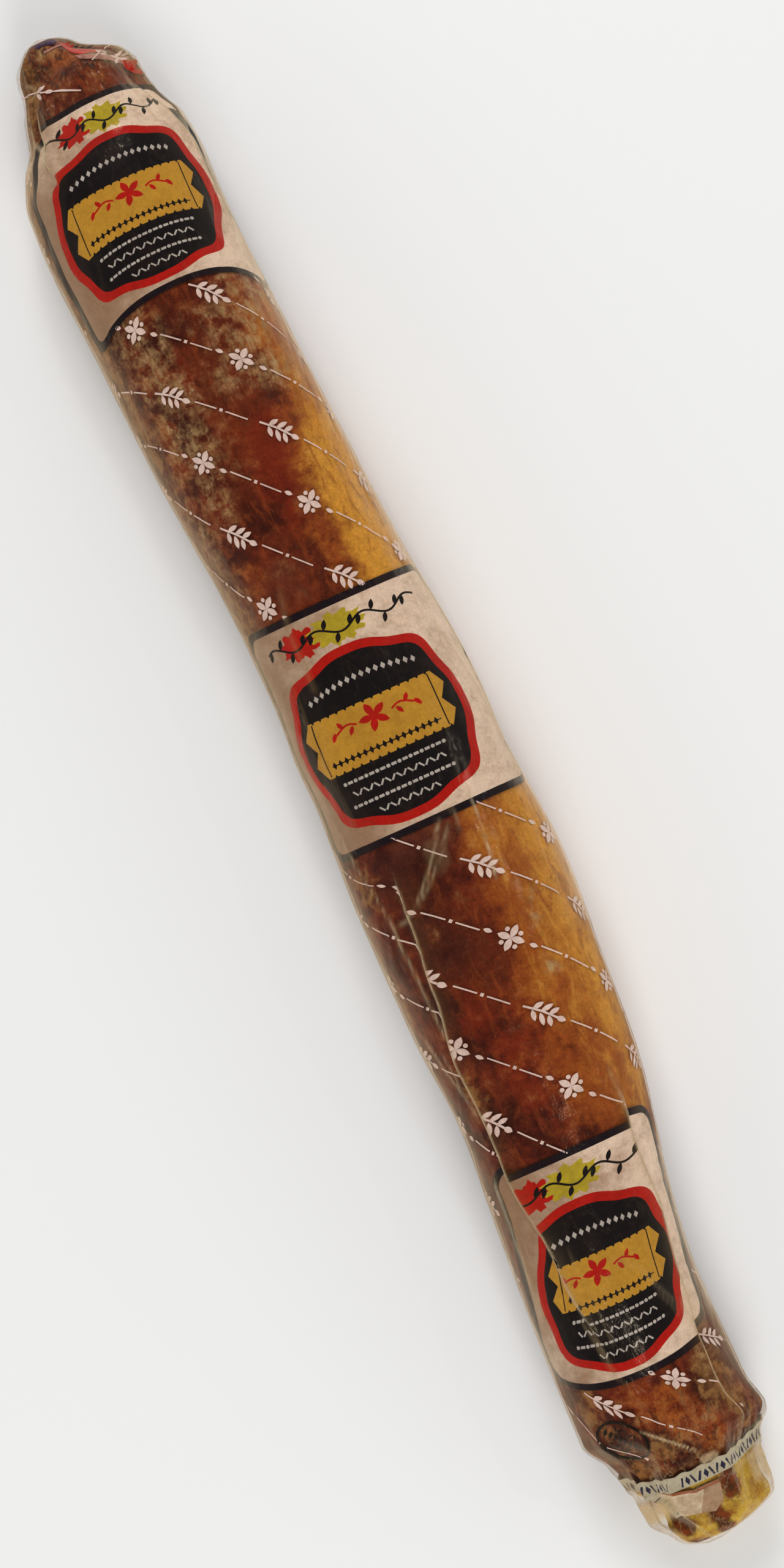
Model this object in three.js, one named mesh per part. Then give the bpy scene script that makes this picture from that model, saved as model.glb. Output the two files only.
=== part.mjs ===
// A whole cured pork loin, vacuum-packed in a clear printed film, lying on its flattened underside.
// Millimetres, +Z up. The loin lies along Y: its head end points to +Y and its tail end to -Y.
// The origin is under the middle of the pack, on the surface that it lies on.
// The pack is one solid, out to the film: a lofted skin whose sections follow the outline of the
// loin, with the relief of the muscle, of the long film folds and of the gathered film at both ends.
import * as THREE from 'three';

// Driving dimensions
const LENGTH = 560;
const TAIL_FLAT_START = 500;
const HEAD_GATHER_END = 56;
const TAIL_BAND_AT = 535;
const TAIL_BAND_WIDTH = 7.5;
const TAIL_BAND_RISE = 1.4;
const SECTION_POWER = 2.25;

// The outline at distances from the head end: left edge, right edge, underside and top.
// Left and right are seen from above with the head end up, from the line between the two ends.
// An underside below zero is cut off flat at zero, which is the face that the pack lies on.
const OUTLINE = [
  { at: 0, left: -9.6, right: -7.6, under: 17, top: 21 },
  { at: 2, left: -14.0, right: -1.8, under: 12, top: 27 },
  { at: 7, left: -16.9, right: 3.9, under: 7, top: 31 },
  { at: 14, left: -19.9, right: 16.0, under: 3.5, top: 36 },
  { at: 28, left: -23.6, right: 19.8, under: 0.6, top: 42 },
  { at: 35, left: -25.8, right: 22.4, under: -0.3, top: 45 },
  { at: 42, left: -30.6, right: 26.1, under: -0.9, top: 48 },
  { at: 56, left: -35.3, right: 27.9, under: -1.2, top: 51.5 },
  { at: 84, left: -36.3, right: 27.4, under: -1.3, top: 53.5 },
  { at: 126, left: -34.3, right: 29.3, under: -1.3, top: 54 },
  { at: 168, left: -31.6, right: 31.3, under: -1.3, top: 53 },
  { at: 210, left: -28.5, right: 34.9, under: -1.3, top: 54 },
  { at: 238, left: -29.0, right: 38.0, under: -1.3, top: 55 },
  { at: 262, left: -30.8, right: 39.3, under: -1.3, top: 56.2 },
  { at: 280, left: -30.0, right: 39.0, under: -1.3, top: 57 },
  { at: 322, left: -31.6, right: 41.2, under: -1.3, top: 58 },
  { at: 364, left: -31.5, right: 39.0, under: -1.3, top: 57 },
  { at: 392, left: -30.3, right: 36.8, under: -1.3, top: 55 },
  { at: 420, left: -31.4, right: 31.9, under: -1.3, top: 53 },
  { at: 448, left: -32.8, right: 26.3, under: -1.3, top: 52 },
  { at: 476, left: -34.7, right: 23.2, under: -1.2, top: 51 },
  { at: 512, left: -36.2, right: 24.3, under: -0.8, top: 47 },
  { at: 522, left: -30.6, right: 26.2, under: -0.3, top: 43 },
  { at: 532, left: -27.3, right: 18.7, under: 0.8, top: 38 },
  { at: 546, left: -26.2, right: 17.2, under: 4, top: 32 },
  { at: 552, left: -21.8, right: 16.6, under: 7, top: 29 },
  { at: 557, left: -18.7, right: 7.3, under: 11, top: 25 },
  { at: 560, left: -11.8, right: -4.6, under: 15, top: 20 },
];

// Long folds where the slack of the film is laid over to one side: 1 is away from the right side
// of the pack, round over the top, and -1 is towards it. Each edge is a path of
// [distance from the head end, degrees round the section]. The fold stands up on its stretches,
// [from, to, distance over which it fades in and out], and the film is smooth between them.
const FOLDS = [
  { name: 'right', side: -1, rise: 1.5, width: 9, stretches: [[22, 92, 14], [396, 534, 16]],
    path: [[22, 38], [41, 33], [57, 25], [92, 20], [380, 50], [420, 50], [450, 40], [475, 41],
      [492, 49], [507, 51], [534, 45]] },
  { name: 'left', side: 1, rise: 1.9, width: 11, stretches: [[20, 54, 10], [300, 486, 24]],
    path: [[20, 142], [30, 138], [39, 132], [50, 123], [70, 118], [300, 118], [325, 121],
      [350, 125], [379, 134], [415, 131], [452, 117], [486, 106]] },
  { name: 'left_under', side: 1, rise: 1.6, width: 10, stretches: [[60, 370, 30]],
    path: [[60, 212], [140, 222], [260, 226], [370, 218]] },
  { name: 'right_under', side: -1, rise: 1.6, width: 10, stretches: [[190, 500, 30]],
    path: [[190, 318], [290, 312], [400, 322], [500, 326]] },
];
const FOLD_DROP = 1.1;
const FOLD_RADIUS = 30;

// Mesh: spacing of the sections, and columns between one fold's edge and the next
const STEP_HEAD = 2.4;
const STEP_BODY = 6.8;
const STEP_TAIL = 2.3;
const COLUMNS = 44;

const degrees = THREE.MathUtils.degToRad;
const clamp = THREE.MathUtils.clamp;
const smooth = THREE.MathUtils.smoothstep;

// One column of the outline at a distance from the head end: a cubic through its rows that never
// swings past them.
function outlineAt(name, at) {
  const rows = OUTLINE;
  const slope = (i) => (rows[i + 1][name] - rows[i][name]) / (rows[i + 1].at - rows[i].at);
  const tangent = (i) => {
    if (i === 0) return slope(0);
    if (i === rows.length - 1) return slope(i - 1);
    const [before, after] = [slope(i - 1), slope(i)];
    return before * after <= 0 ? 0 : (2 * before * after) / (before + after);
  };
  let i = 0;
  while (i < rows.length - 2 && at > rows[i + 1].at) i += 1;
  const span = rows[i + 1].at - rows[i].at;
  const t = clamp((at - rows[i].at) / span, 0, 1);
  const [t2, t3] = [t * t, t * t * t];
  return (2 * t3 - 3 * t2 + 1) * rows[i][name] + (t3 - 2 * t2 + t) * span * tangent(i)
    + (3 * t2 - 2 * t3) * rows[i + 1][name] + (t3 - t2) * span * tangent(i + 1);
}

// The angle of a fold's edge at a distance from the head end
function foldAngle(fold, at) {
  const { path } = fold;
  let i = 0;
  while (i < path.length - 2 && at > path[i + 1][0]) i += 1;
  const share = smooth(at, path[i][0], path[i + 1][0]);
  return degrees(THREE.MathUtils.lerp(path[i][1], path[i + 1][1], share));
}

// A fold climbs slowly to its edge on one side and drops steeply on the other.
function foldRelief(fold, at, across) {
  let fade = 0;
  for (const [start, end, soft] of fold.stretches) {
    fade += smooth(at, start, start + soft) * (1 - smooth(at, end - soft, end));
  }
  const climb = across <= 0 ? clamp(1 + across / fold.width, 0, 1) ** 2
    : clamp(1 - across / FOLD_DROP, 0, 1);
  return fold.rise * fade * climb;
}

// The soft swell of the muscle under the film
function muscleSwell(at, angle) {
  return 0.7 * Math.sin(at / 33 + 1.4 * Math.sin(angle)) * Math.cos(2 * angle + at / 74)
    + 0.45 * Math.sin(at / 15.5 + 2 * angle + 0.9) * Math.sin(3 * angle + at / 52);
}

// Gathered film: uneven pleats with sharp crests, `count` of them round the section
function pleats(angle, count, turn) {
  const uneven = angle + 0.26 * Math.sin(2 * angle + turn) + 0.13 * Math.sin(3 * angle - turn);
  return 1 - 2 * Math.abs(Math.sin((uneven * count) / 2 + turn)) ** 0.8;
}

function headGather(at, angle) {
  const strength = 1.5 * smooth(at, 0, 9) * (1 - smooth(at, 16, HEAD_GATHER_END));
  const tuck = 1.1 * Math.sin(at / 3.4 + 2.1 * Math.sin(angle + 0.5)) * smooth(at, 1, 6)
    * (1 - smooth(at, 12, 34));
  return strength * pleats(angle, 9, 0.7) + tuck;
}

function tailGather(at, angle) {
  const strength = 1.6 * smooth(at, TAIL_FLAT_START, 530) * (1 - smooth(at, 548, LENGTH));
  return strength * pleats(angle, 8, 2.1);
}

// The printed band of doubled film that crosses the tail end stands up from it as a low step.
function tailBand(at, angle) {
  const middle = TAIL_BAND_AT - 6 * (1 - Math.sin(angle));
  const half = TAIL_BAND_WIDTH / 2;
  return TAIL_BAND_RISE * smooth(at, middle - half - 5, middle - half)
    * (1 - smooth(at, middle + half, middle + half + 2)) * smooth(Math.sin(angle), -0.3, 0.5);
}

// A point of the skin at a distance from the head end and an angle round the section, where 0 is
// the right side and 90 degrees the top
function skinPoint(at, angle) {
  const [left, right] = [outlineAt('left', at), outlineAt('right', at)];
  const [under, top] = [outlineAt('under', at), outlineAt('top', at)];
  const [halfWidth, halfHeight] = [(right - left) / 2, (top - under) / 2];
  const power = 2 / SECTION_POWER;
  const [c, s] = [Math.cos(angle), Math.sin(angle)];
  const x = (left + right) / 2 + halfWidth * Math.sign(c) * Math.abs(c) ** power;
  const z = (under + top) / 2 + halfHeight * Math.sign(s) * Math.abs(s) ** power;
  const girthRadius = (halfWidth + halfHeight) / 2;
  const full = clamp(girthRadius / 20, 0, 1);
  let relief = full * muscleSwell(at, angle) + headGather(at, angle) + tailGather(at, angle)
    + tailBand(at, angle);
  for (const fold of FOLDS) {
    let turn = angle - foldAngle(fold, at);
    turn -= 2 * Math.PI * Math.round(turn / (2 * Math.PI));
    relief += full * foldRelief(fold, at, turn * girthRadius * fold.side);
  }
  return new THREE.Vector3(x + relief * c, LENGTH / 2 - at, Math.max(z + relief * s, 0));
}

function sectionDistances() {
  const distances = [];
  for (let at = 0; at < HEAD_GATHER_END; at += STEP_HEAD) distances.push(at);
  for (let at = HEAD_GATHER_END; at < TAIL_FLAT_START; at += STEP_BODY) distances.push(at);
  for (let at = TAIL_FLAT_START; at < LENGTH - STEP_TAIL / 2; at += STEP_TAIL) distances.push(at);
  distances.push(LENGTH);
  return distances;
}

// The angles of one section's corners: two at each fold's edge, and the rest evenly between them
function sectionAngles(at) {
  const order = [...FOLDS].sort((a, b) => a.path[0][1] - b.path[0][1]);
  const turn = 2 * Math.PI;
  const drop = FOLD_DROP / FOLD_RADIUS;
  const angles = [];
  order.forEach((fold, i) => {
    const following = order[(i + 1) % order.length];
    const lap = i + 1 < order.length ? 0 : turn;
    const span = degrees(following.path[0][1] - fold.path[0][1]) + lap;
    const count = Math.max(2, Math.round((span / turn) * COLUMNS) - 1);
    const start = foldAngle(fold, at) + (fold.side > 0 ? drop : 0);
    const end = foldAngle(following, at) - (following.side > 0 ? 0 : drop) + lap;
    angles.push(start - drop);
    for (let k = 0; k < count; k += 1) angles.push(start + ((end - start) * k) / count);
  });
  return angles;
}

// The closed skin: rings of corners from end to end, and a fan over each end
function packGeometry() {
  const distances = sectionDistances();
  const rings = distances.map((at) => sectionAngles(at).map((angle) => skinPoint(at, angle)));
  const around = rings[0].length;
  const corners = rings.flat();
  const middle = (ring) => ring.reduce((sum, p) => sum.add(p), new THREE.Vector3())
    .divideScalar(ring.length);
  corners.push(middle(rings[0]), middle(rings[rings.length - 1]));
  const faces = [];
  for (let r = 0; r + 1 < rings.length; r += 1) {
    for (let k = 0; k < around; k += 1) {
      const [a, b] = [r * around + k, r * around + ((k + 1) % around)];
      const [c, d] = [a + around, b + around];
      faces.push(a, b, c, b, d, c);
    }
  }
  const [headMiddle, tailMiddle] = [corners.length - 2, corners.length - 1];
  const last = (rings.length - 1) * around;
  for (let k = 0; k < around; k += 1) {
    const next = (k + 1) % around;
    faces.push(headMiddle, next, k);
    faces.push(tailMiddle, last + k, last + next);
  }
  const geometry = new THREE.BufferGeometry().setFromPoints(corners);
  geometry.setIndex(faces);
  geometry.computeBoundingBox();
  const { min, max } = geometry.boundingBox;
  geometry.translate(-(min.x + max.x) / 2, -(min.y + max.y) / 2, -min.z);
  geometry.computeVertexNormals();
  return geometry;
}

function packMaterial() {
  return new THREE.MeshStandardMaterial({ color: 0x8a4a26, roughness: 0.35, metalness: 0 });
}

function wrappedLoin() {
  const mesh = new THREE.Mesh(packGeometry(), packMaterial());
  mesh.name = 'wrapped_loin';
  return mesh;
}

const group = new THREE.Group();
group.add(wrappedLoin());

export default group;
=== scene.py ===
"""A whole cured pork loin, vacuum-packed in printed clear film, lying on a pale floor."""

import math

import bpy
import numpy as np
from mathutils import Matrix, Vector
from mathutils.geometry import delaunay_2d_cdt


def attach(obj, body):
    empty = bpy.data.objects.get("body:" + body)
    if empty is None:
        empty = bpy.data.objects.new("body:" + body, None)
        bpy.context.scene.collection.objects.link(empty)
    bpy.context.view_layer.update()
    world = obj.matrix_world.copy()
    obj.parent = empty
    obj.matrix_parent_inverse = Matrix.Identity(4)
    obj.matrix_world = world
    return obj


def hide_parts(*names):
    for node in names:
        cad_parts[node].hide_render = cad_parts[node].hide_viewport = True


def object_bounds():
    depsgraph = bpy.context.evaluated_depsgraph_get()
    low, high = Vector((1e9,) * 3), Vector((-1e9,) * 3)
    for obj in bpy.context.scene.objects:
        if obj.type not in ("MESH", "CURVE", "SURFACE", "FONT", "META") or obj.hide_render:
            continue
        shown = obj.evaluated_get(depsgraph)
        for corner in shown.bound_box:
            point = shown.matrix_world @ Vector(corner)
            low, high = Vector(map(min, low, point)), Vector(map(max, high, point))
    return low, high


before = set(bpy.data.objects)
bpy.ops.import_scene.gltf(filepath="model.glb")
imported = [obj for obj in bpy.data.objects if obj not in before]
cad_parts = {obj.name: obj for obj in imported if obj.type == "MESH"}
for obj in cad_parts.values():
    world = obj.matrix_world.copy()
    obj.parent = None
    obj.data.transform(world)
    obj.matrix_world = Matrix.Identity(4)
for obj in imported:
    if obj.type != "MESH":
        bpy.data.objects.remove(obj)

cad_low, cad_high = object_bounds()

# Sizes are in millimetres until a mesh is made. `at` is the distance from the head end, and
# `angle` goes round the section: 0 is the right side and 90 degrees the top.
LENGTH = 560.0
MM = 0.001

# The outline: distance from the head end, left edge, right edge, underside, top
AT, LEFT, RIGHT, UNDER, TOP = np.array([
    (0, -9.6, -7.6, 17, 21), (2, -14.0, -1.8, 12, 27), (7, -16.9, 3.9, 7, 31),
    (14, -19.9, 16.0, 3.5, 36), (28, -23.6, 19.8, 0.6, 42), (35, -25.8, 22.4, -0.3, 45),
    (42, -30.6, 26.1, -0.9, 48), (56, -35.3, 27.9, -1.2, 51.5), (84, -36.3, 27.4, -1.3, 53.5),
    (126, -34.3, 29.3, -1.3, 54), (168, -31.6, 31.3, -1.3, 53), (210, -28.5, 34.9, -1.3, 54),
    (238, -29.0, 38.0, -1.3, 55), (262, -30.8, 39.3, -1.3, 56.2), (280, -30.0, 39.0, -1.3, 57),
    (322, -31.6, 41.2, -1.3, 58), (364, -31.5, 39.0, -1.3, 57), (392, -30.3, 36.8, -1.3, 55),
    (420, -31.4, 31.9, -1.3, 53), (448, -32.8, 26.3, -1.3, 52), (476, -34.7, 23.2, -1.2, 51),
    (512, -36.2, 24.3, -0.8, 47), (522, -30.6, 26.2, -0.3, 43), (532, -27.3, 18.7, 0.8, 38),
    (546, -26.2, 17.2, 4, 32), (552, -21.8, 16.6, 7, 29), (557, -18.7, 7.3, 11, 25),
    (560, -11.8, -4.6, 15, 20),
]).T
SECTION_POWER = 2.25

# Long folds of the film. Each has the side that it is laid over to, its rise and width, the
# stretches where it stands up [from, to, fade, film tucked away in it, slip of the print past it],
# and the path of its edge [distance, degrees]. From the first to the second distance of tuck_fade,
# the tucked film grows less by that share.
FOLDS = {
    "right": dict(side=-1, rise=1.5, width=9, tuck_fade=(430, 466, 0.3),
                  stretches=[(22, 92, 14, 9.0, 0.0), (396, 534, 16, 10.5, -4.0)],
                  path=[(22, 38), (41, 33), (57, 25), (92, 20), (380, 50), (420, 50), (450, 40),
                        (475, 41), (492, 49), (507, 51), (534, 45)]),
    "left": dict(side=1, rise=1.9, width=11, tuck_fade=(424, 480, 0.7),
                 stretches=[(20, 54, 10, 3.5, 3.5), (300, 486, 24, 12.5, -3.5)],
                 path=[(20, 142), (30, 138), (39, 132), (50, 123), (70, 118), (300, 118),
                       (325, 121), (350, 125), (379, 134), (415, 131), (452, 117), (486, 106)]),
    "left_under": dict(side=1, rise=1.6, width=10, stretches=[(60, 370, 30, 5.0, 2.0)],
                       path=[(60, 212), (140, 222), (260, 226), (370, 218)]),
    "right_under": dict(side=-1, rise=1.6, width=10, stretches=[(190, 500, 30, 5.0, -2.0)],
                        path=[(190, 318), (290, 312), (400, 322), (500, 326)]),
}
TUCK, SLIP = 3, 4  # columns of a stretch
FOLD_DROP = 1.1  # how wide the step at a fold's edge is
FOLD_RADIUS = 30.0  # the section's radius, where it is taken as round
COLUMNS_BETWEEN_FOLDS = (44, 46, 64, 72)  # of the film's mesh
HEAD_GATHER_END, TAIL_GATHER_START = 56.0, 500.0
TAIL_BAND_AT, TAIL_BAND_WIDTH, TAIL_BAND_RISE = 535.0, 7.5, 1.4

# Thin creases of the film, seen from above: points [distance, across], half width, rise, haze. On two of
# them the haze is a painted highlight, a glint line.
CREASES = [
    ([(297, 7), (309, -1), (321, -12)], 0.6, 0.5, 0.34),
    ([(300, 9), (308, 3), (316, -5), (322, -12.5)], 0.7, 0.4, 0.26),
    ([(320, -21.5), (332, -21.6), (348, -21.0), (366, -21.4)], 0.45, 0.5, 0.4),
    ([(321, -12.5), (323.5, -15), (325, -21)], 0.5, 0.5, 0.5),
    ([(286, -26), (302, -24.5), (322, -21.5)], 0.4, 0.4, 0.3),
    ([(362, -28), (378, -25.5), (392, -22.6)], 0.4, 0.4, 0.36),
    ([(370, -24.6), (384, -23.6), (396, -22.4)], 0.35, 0.3, 0.3),
    # Painted highlights: these two creases draw thin bright glint lines with their haze.
    ([(286, 19.2), (300, 19.4), (310, 18.6), (323, 16.2)], 0.3, 0.5, 0.62),
    ([(294, 11.8), (299, 12.2), (304, 11.6)], 0.4, 0.3, 0.4),
    ([(236, 33), (262, 37.5), (296, 38)], 0.6, 0.4, 0.25),
    ([(396, 24), (408, 23), (416, 22)], 0.7, 0.4, 0.25),
    ([(205, -10), (220, -13), (242, -13.5)], 1.0, 0.25, 0.16),
    ([(415, -26), (440, -28), (468, -30)], 0.8, 0.5, 0.3),
    ([(440, -18.5), (468, -17), (494, -16)], 0.45, 0.45, 0.2),
    ([(446, -13.5), (466, -12.5), (482, -12.5)], 0.4, 0.35, 0.14),
    ([(222, -19.5), (252, -20.5), (290, -19.5)], 0.5, 0.3, 0.12),
    ([(470, -19), (486, -17), (498, -14)], 0.5, 0.4, 0.14),
    ([(455, -1), (462, 6), (470, 9), (479, 13)], 0.7, 0.5, 0.12),
    ([(472, 8), (478, 11), (484, 12)], 0.6, 0.4, 0.1),
    ([(513, -16), (520, -9), (528, -1)], 0.4, 0.4, 0.75),
    ([(500, 0), (515, 2), (528, 0)], 0.7, 0.4, 0.1),
    ([(536, -18), (545, -15), (559, -8.5)], 0.35, 0.4, 0.5),
    ([(535, 13), (545, 14.6), (552, 15.6)], 0.4, 0.5, 0.4),
    ([(8, -16), (6.4, -9), (7.4, -3)], 0.4, 0.4, 0.4),
    ([(12, -18), (17, -17), (20, -19)], 0.5, 0.5, 0.3),
    ([(12, 4), (16, 10), (20, 17)], 0.7, 0.5, 0.3),
    ([(30, -23), (38, -22), (44, -24)], 0.6, 0.4, 0.45),
    ([(26, 14), (34, 15.5), (44, 17)], 0.5, 0.4, 0.3),
]

# The printed film as a flat tube. It is twisted a little at both ends, and drawn together
# along its length at the head, up to HEAD_PRINT_END.
FILM_GIRTH = 199.0
HEAD_TWIST, TAIL_TWIST = 5.5, 6.0
HEAD_PRINT_END, HEAD_PRINT_SCALE = 100.0, 0.86
LABEL_STARTS = (13.5, 214.8, 415.8)
LABEL_LENGTH, LABEL_WIDTH, LABEL_SHIFT = 83.0, 84.5, 0.95
DESIGN_SHIFT = 2.55
PATTERN_START, PATTERN_END = 16.0, 526.0
PRINT_UNDER_FILM = 0.14


# --- small sums

def smooth(value, low, high):
    t = np.clip((value - low) / (high - low), 0, 1)
    return t * t * (3 - 2 * t)


def between(value, start, full, fading, end):
    """1 from full to fading, and 0 before start and after end."""
    return smooth(value, start, full) * (1 - smooth(value, fading, end))


def bent(value, power):
    """A power of the value's size that keeps its sign."""
    return np.sign(value) * np.abs(value) ** power


def gap_to_line(at, across, a, b):
    """How far points lie from the line between a and b, seen from above."""
    run = np.subtract(b, a)
    t = np.clip(((at - a[0]) * run[0] + (across - a[1]) * run[1]) / (run @ run), 0, 1)
    return np.hypot(at - a[0] - t * run[0], across - a[1] - t * run[1])


def outline(column, at):
    """A column of the outline at distances from the head end, by a cubic that never overswings."""
    slope = np.diff(column) / np.diff(AT)
    before, after = slope[:-1], slope[1:]
    same_way = before * after > 0
    mean = 2 * before * after / np.where(same_way, before + after, 1)
    tangent = np.concatenate([slope[:1], np.where(same_way, mean, 0), slope[-1:]])
    i = np.clip(np.searchsorted(AT, at) - 1, 0, len(AT) - 2)
    span = AT[i + 1] - AT[i]
    t = np.clip((at - AT[i]) / span, 0, 1)
    return ((2 * t**3 - 3 * t**2 + 1) * column[i] + (t**3 - 2 * t**2 + t) * span * tangent[i]
            + (3 * t**2 - 2 * t**3) * column[i + 1] + (t**3 - t**2) * span * tangent[i + 1])


def cloud(points, size, seed):
    """Soft random values from -1 to 1 in space, with lumps of the given size."""
    p = np.asarray(points) / size
    cell = np.floor(p)
    f = p - cell
    w = f * f * (3 - 2 * f)
    total = 0.0
    for corner in np.ndindex(2, 2, 2):
        dot = (cell + corner) @ np.array([127.1, 311.7, 74.7]) + seed * 19.19
        value = np.mod(np.sin(dot) * 43758.5453, 1.0)
        weight = np.prod(np.where(corner, w, 1 - w), axis=-1)
        total = total + value * weight
    return 2 * total - 1


# --- the film's form

def fold_angle(fold, at):
    stops, degrees = np.array(fold["path"], float).T
    i = np.clip(np.searchsorted(stops, at) - 1, 0, len(stops) - 2)
    share = smooth(at, stops[i], stops[i + 1])
    return np.radians(degrees[i] + (degrees[i + 1] - degrees[i]) * share)


def fold_strength(fold, at, column=None):
    """How far the fold stands up, from 0 to 1, or that share of a column of its stretches."""
    total = 0.0
    for stretch in fold["stretches"]:
        start, end, fade = stretch[:3]
        share = between(at, start, start + fade, end - fade, end)
        total = total + share * (1 if column is None else stretch[column])
    return total


def across_fold(fold, at, angle, radius):
    """How far a point lies past the fold's edge, towards the side that it is laid over to."""
    turn = angle - fold_angle(fold, at)
    turn = turn - 2 * np.pi * np.round(turn / (2 * np.pi))
    return turn * radius * fold["side"]


def fold_relief(fold, at, angle, radius):
    across = across_fold(fold, at, angle, radius)
    climb = np.where(across <= 0, np.clip(1 + across / fold["width"], 0, 1) ** 2,
                     np.clip(1 - across / FOLD_DROP, 0, 1))
    return fold["rise"] * fold_strength(fold, at) * climb


def muscle_swell(at, angle):
    return (0.7 * np.sin(at / 33 + 1.4 * np.sin(angle)) * np.cos(2 * angle + at / 74)
            + 0.45 * np.sin(at / 15.5 + 2 * angle + 0.9) * np.sin(3 * angle + at / 52))


def pleats(angle, count, turn):
    """Gathered film: uneven pleats with sharp crests."""
    uneven = angle + 0.26 * np.sin(2 * angle + turn) + 0.13 * np.sin(3 * angle - turn)
    return 1 - 2 * np.abs(np.sin(uneven * count / 2 + turn)) ** 0.8


def head_gather(at, angle):
    strength = 1.5 * between(at, 0, 9, 16, HEAD_GATHER_END)
    tuck = 1.1 * np.sin(at / 3.4 + 2.1 * np.sin(angle + 0.5)) * between(at, 1, 6, 12, 34)
    return strength * pleats(angle, 9, 0.7) + tuck


def tail_gather(at, angle):
    strength = 1.6 * between(at, TAIL_GATHER_START, 530, 548, LENGTH)
    return strength * pleats(angle, 8, 2.1)


def tail_band_middle(angle):
    return TAIL_BAND_AT - 6 * (1 - np.sin(angle))


def tail_band(at, angle):
    middle, half = tail_band_middle(angle), TAIL_BAND_WIDTH / 2
    stands = between(at, middle - half - 5, middle - half, middle + half, middle + half + 2)
    return TAIL_BAND_RISE * stands * smooth(np.sin(angle), -0.3, 0.5)


def crinkle(at, angle):
    """Fine creases of the tight film, stronger where it is gathered."""
    ends = 1 - smooth(at, 8, 60) + smooth(at, 492, 530)
    around = 30 * angle
    lines = np.stack([around + 0.3 * at, at * 0.16 + 0 * angle, around * 0], -1)
    fine = np.abs(cloud(lines, 2.6, 3)) + 0.6 * np.abs(cloud(lines, 1.3, 8))
    slack = np.stack([around - 0.5 * at, at * 0.3 + 0 * angle, around * 0 + 7], -1)
    soft = np.stack([around + 0.15 * at, at * 0.5 + 0 * angle, around * 0 + 3], -1)
    return (0.45 * ends * (0.6 - fine) - 0.22 * (1 - smooth(np.abs(cloud(slack, 9, 5)), 0, 0.09))
            + 0.16 * cloud(soft, 6, 31))


def plan_across(at, angle):
    """How far right of the photograph's middle line a point of the outline lies."""
    middle_x, half_x, _, _ = section(at)
    return middle_x + half_x * bent(np.cos(angle), 2 / SECTION_POWER)


def plan_angle(at, across):
    """The angle of points on the upper side that lie that far to the right."""
    middle_x, half_x, _, _ = section(at)
    u = np.clip((across - middle_x) / half_x, -0.999, 0.999)
    return np.arccos(bent(u, SECTION_POWER / 2))


def crease_layers(at, angle):
    """(relief, haze and painted glint) of the thin creases."""
    across, upper = plan_across(at, angle), smooth(np.sin(angle), 0, 0.2)
    relief, haze_and_painted_highlights = 0.0, 0.0
    for points, width, rise, level in CREASES:
        path = np.array(points, float)
        nearest = np.full(np.shape(at), 99.0)
        for a, b in zip(path[:-1], path[1:]):
            nearest = np.minimum(nearest, gap_to_line(at, across, a, b))
        first, last = path[:, 0].min(), path[:, 0].max()
        ends = between(at, first - 2, first + 3, last - 3, last + 2)
        near = np.clip(1 - nearest / (2 * width), 0, 1) ** 1.5 * ends * upper
        relief, haze_and_painted_highlights = relief + rise * near, np.maximum(haze_and_painted_highlights, level * near)
    return relief, haze_and_painted_highlights


def section(at):
    left, right = outline(LEFT, at), outline(RIGHT, at)
    under, top = outline(UNDER, at), outline(TOP, at)
    return (left + right) / 2, (right - left) / 2, (under + top) / 2, (top - under) / 2


def skin_point(at, angle, relief, inset=0.0, lowest=0.0):
    """Points of a skin that follows the outline, raised by relief and drawn in by inset."""
    middle_x, half_x, middle_z, half_z = section(at)
    c, s = np.cos(angle), np.sin(angle)
    x = middle_x + (half_x - inset) * bent(c, 2 / SECTION_POWER)
    z = middle_z + (half_z - inset) * bent(s, 2 / SECTION_POWER)
    return np.stack([x + relief * c + SHIFT_X, LENGTH / 2 - at + 0 * angle,
                     np.maximum(z + relief * s, lowest)], -1)


def film_relief(at, angle, fine=True):
    _, half_x, _, half_z = section(at)
    radius = (half_x + half_z) / 2
    full = np.clip(radius / 20, 0, 1)
    relief = full * muscle_swell(at, angle) + head_gather(at, angle) + tail_gather(at, angle)
    relief = relief + tail_band(at, angle)
    for fold in FOLDS.values():
        relief = relief + full * fold_relief(fold, at, angle, radius)
    return relief + full * crinkle(at, angle) + crease_layers(at, angle)[0] if fine else relief


def film_point(at, angle, under=0.0):
    """Points of the film, or of a layer that lies a little under it."""
    point = skin_point(at, angle, film_relief(at, angle), lowest=under)
    if under:
        ahead = skin_point(at + 0.2, angle, film_relief(at + 0.2, angle))
        along = skin_point(at, angle + 0.01, film_relief(at, angle + 0.01))
        normal = np.cross(along - point, ahead - point)
        normal /= np.maximum(np.linalg.norm(normal, axis=-1, keepdims=True), 1e-9)
        point = point - normal * under
        point[..., 2] = np.maximum(point[..., 2], under)
    return point


# How far the outline is moved along X. It is set from the solid, before the first piece.
SHIFT_X = 0.0


# --- flat print to curved film

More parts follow.
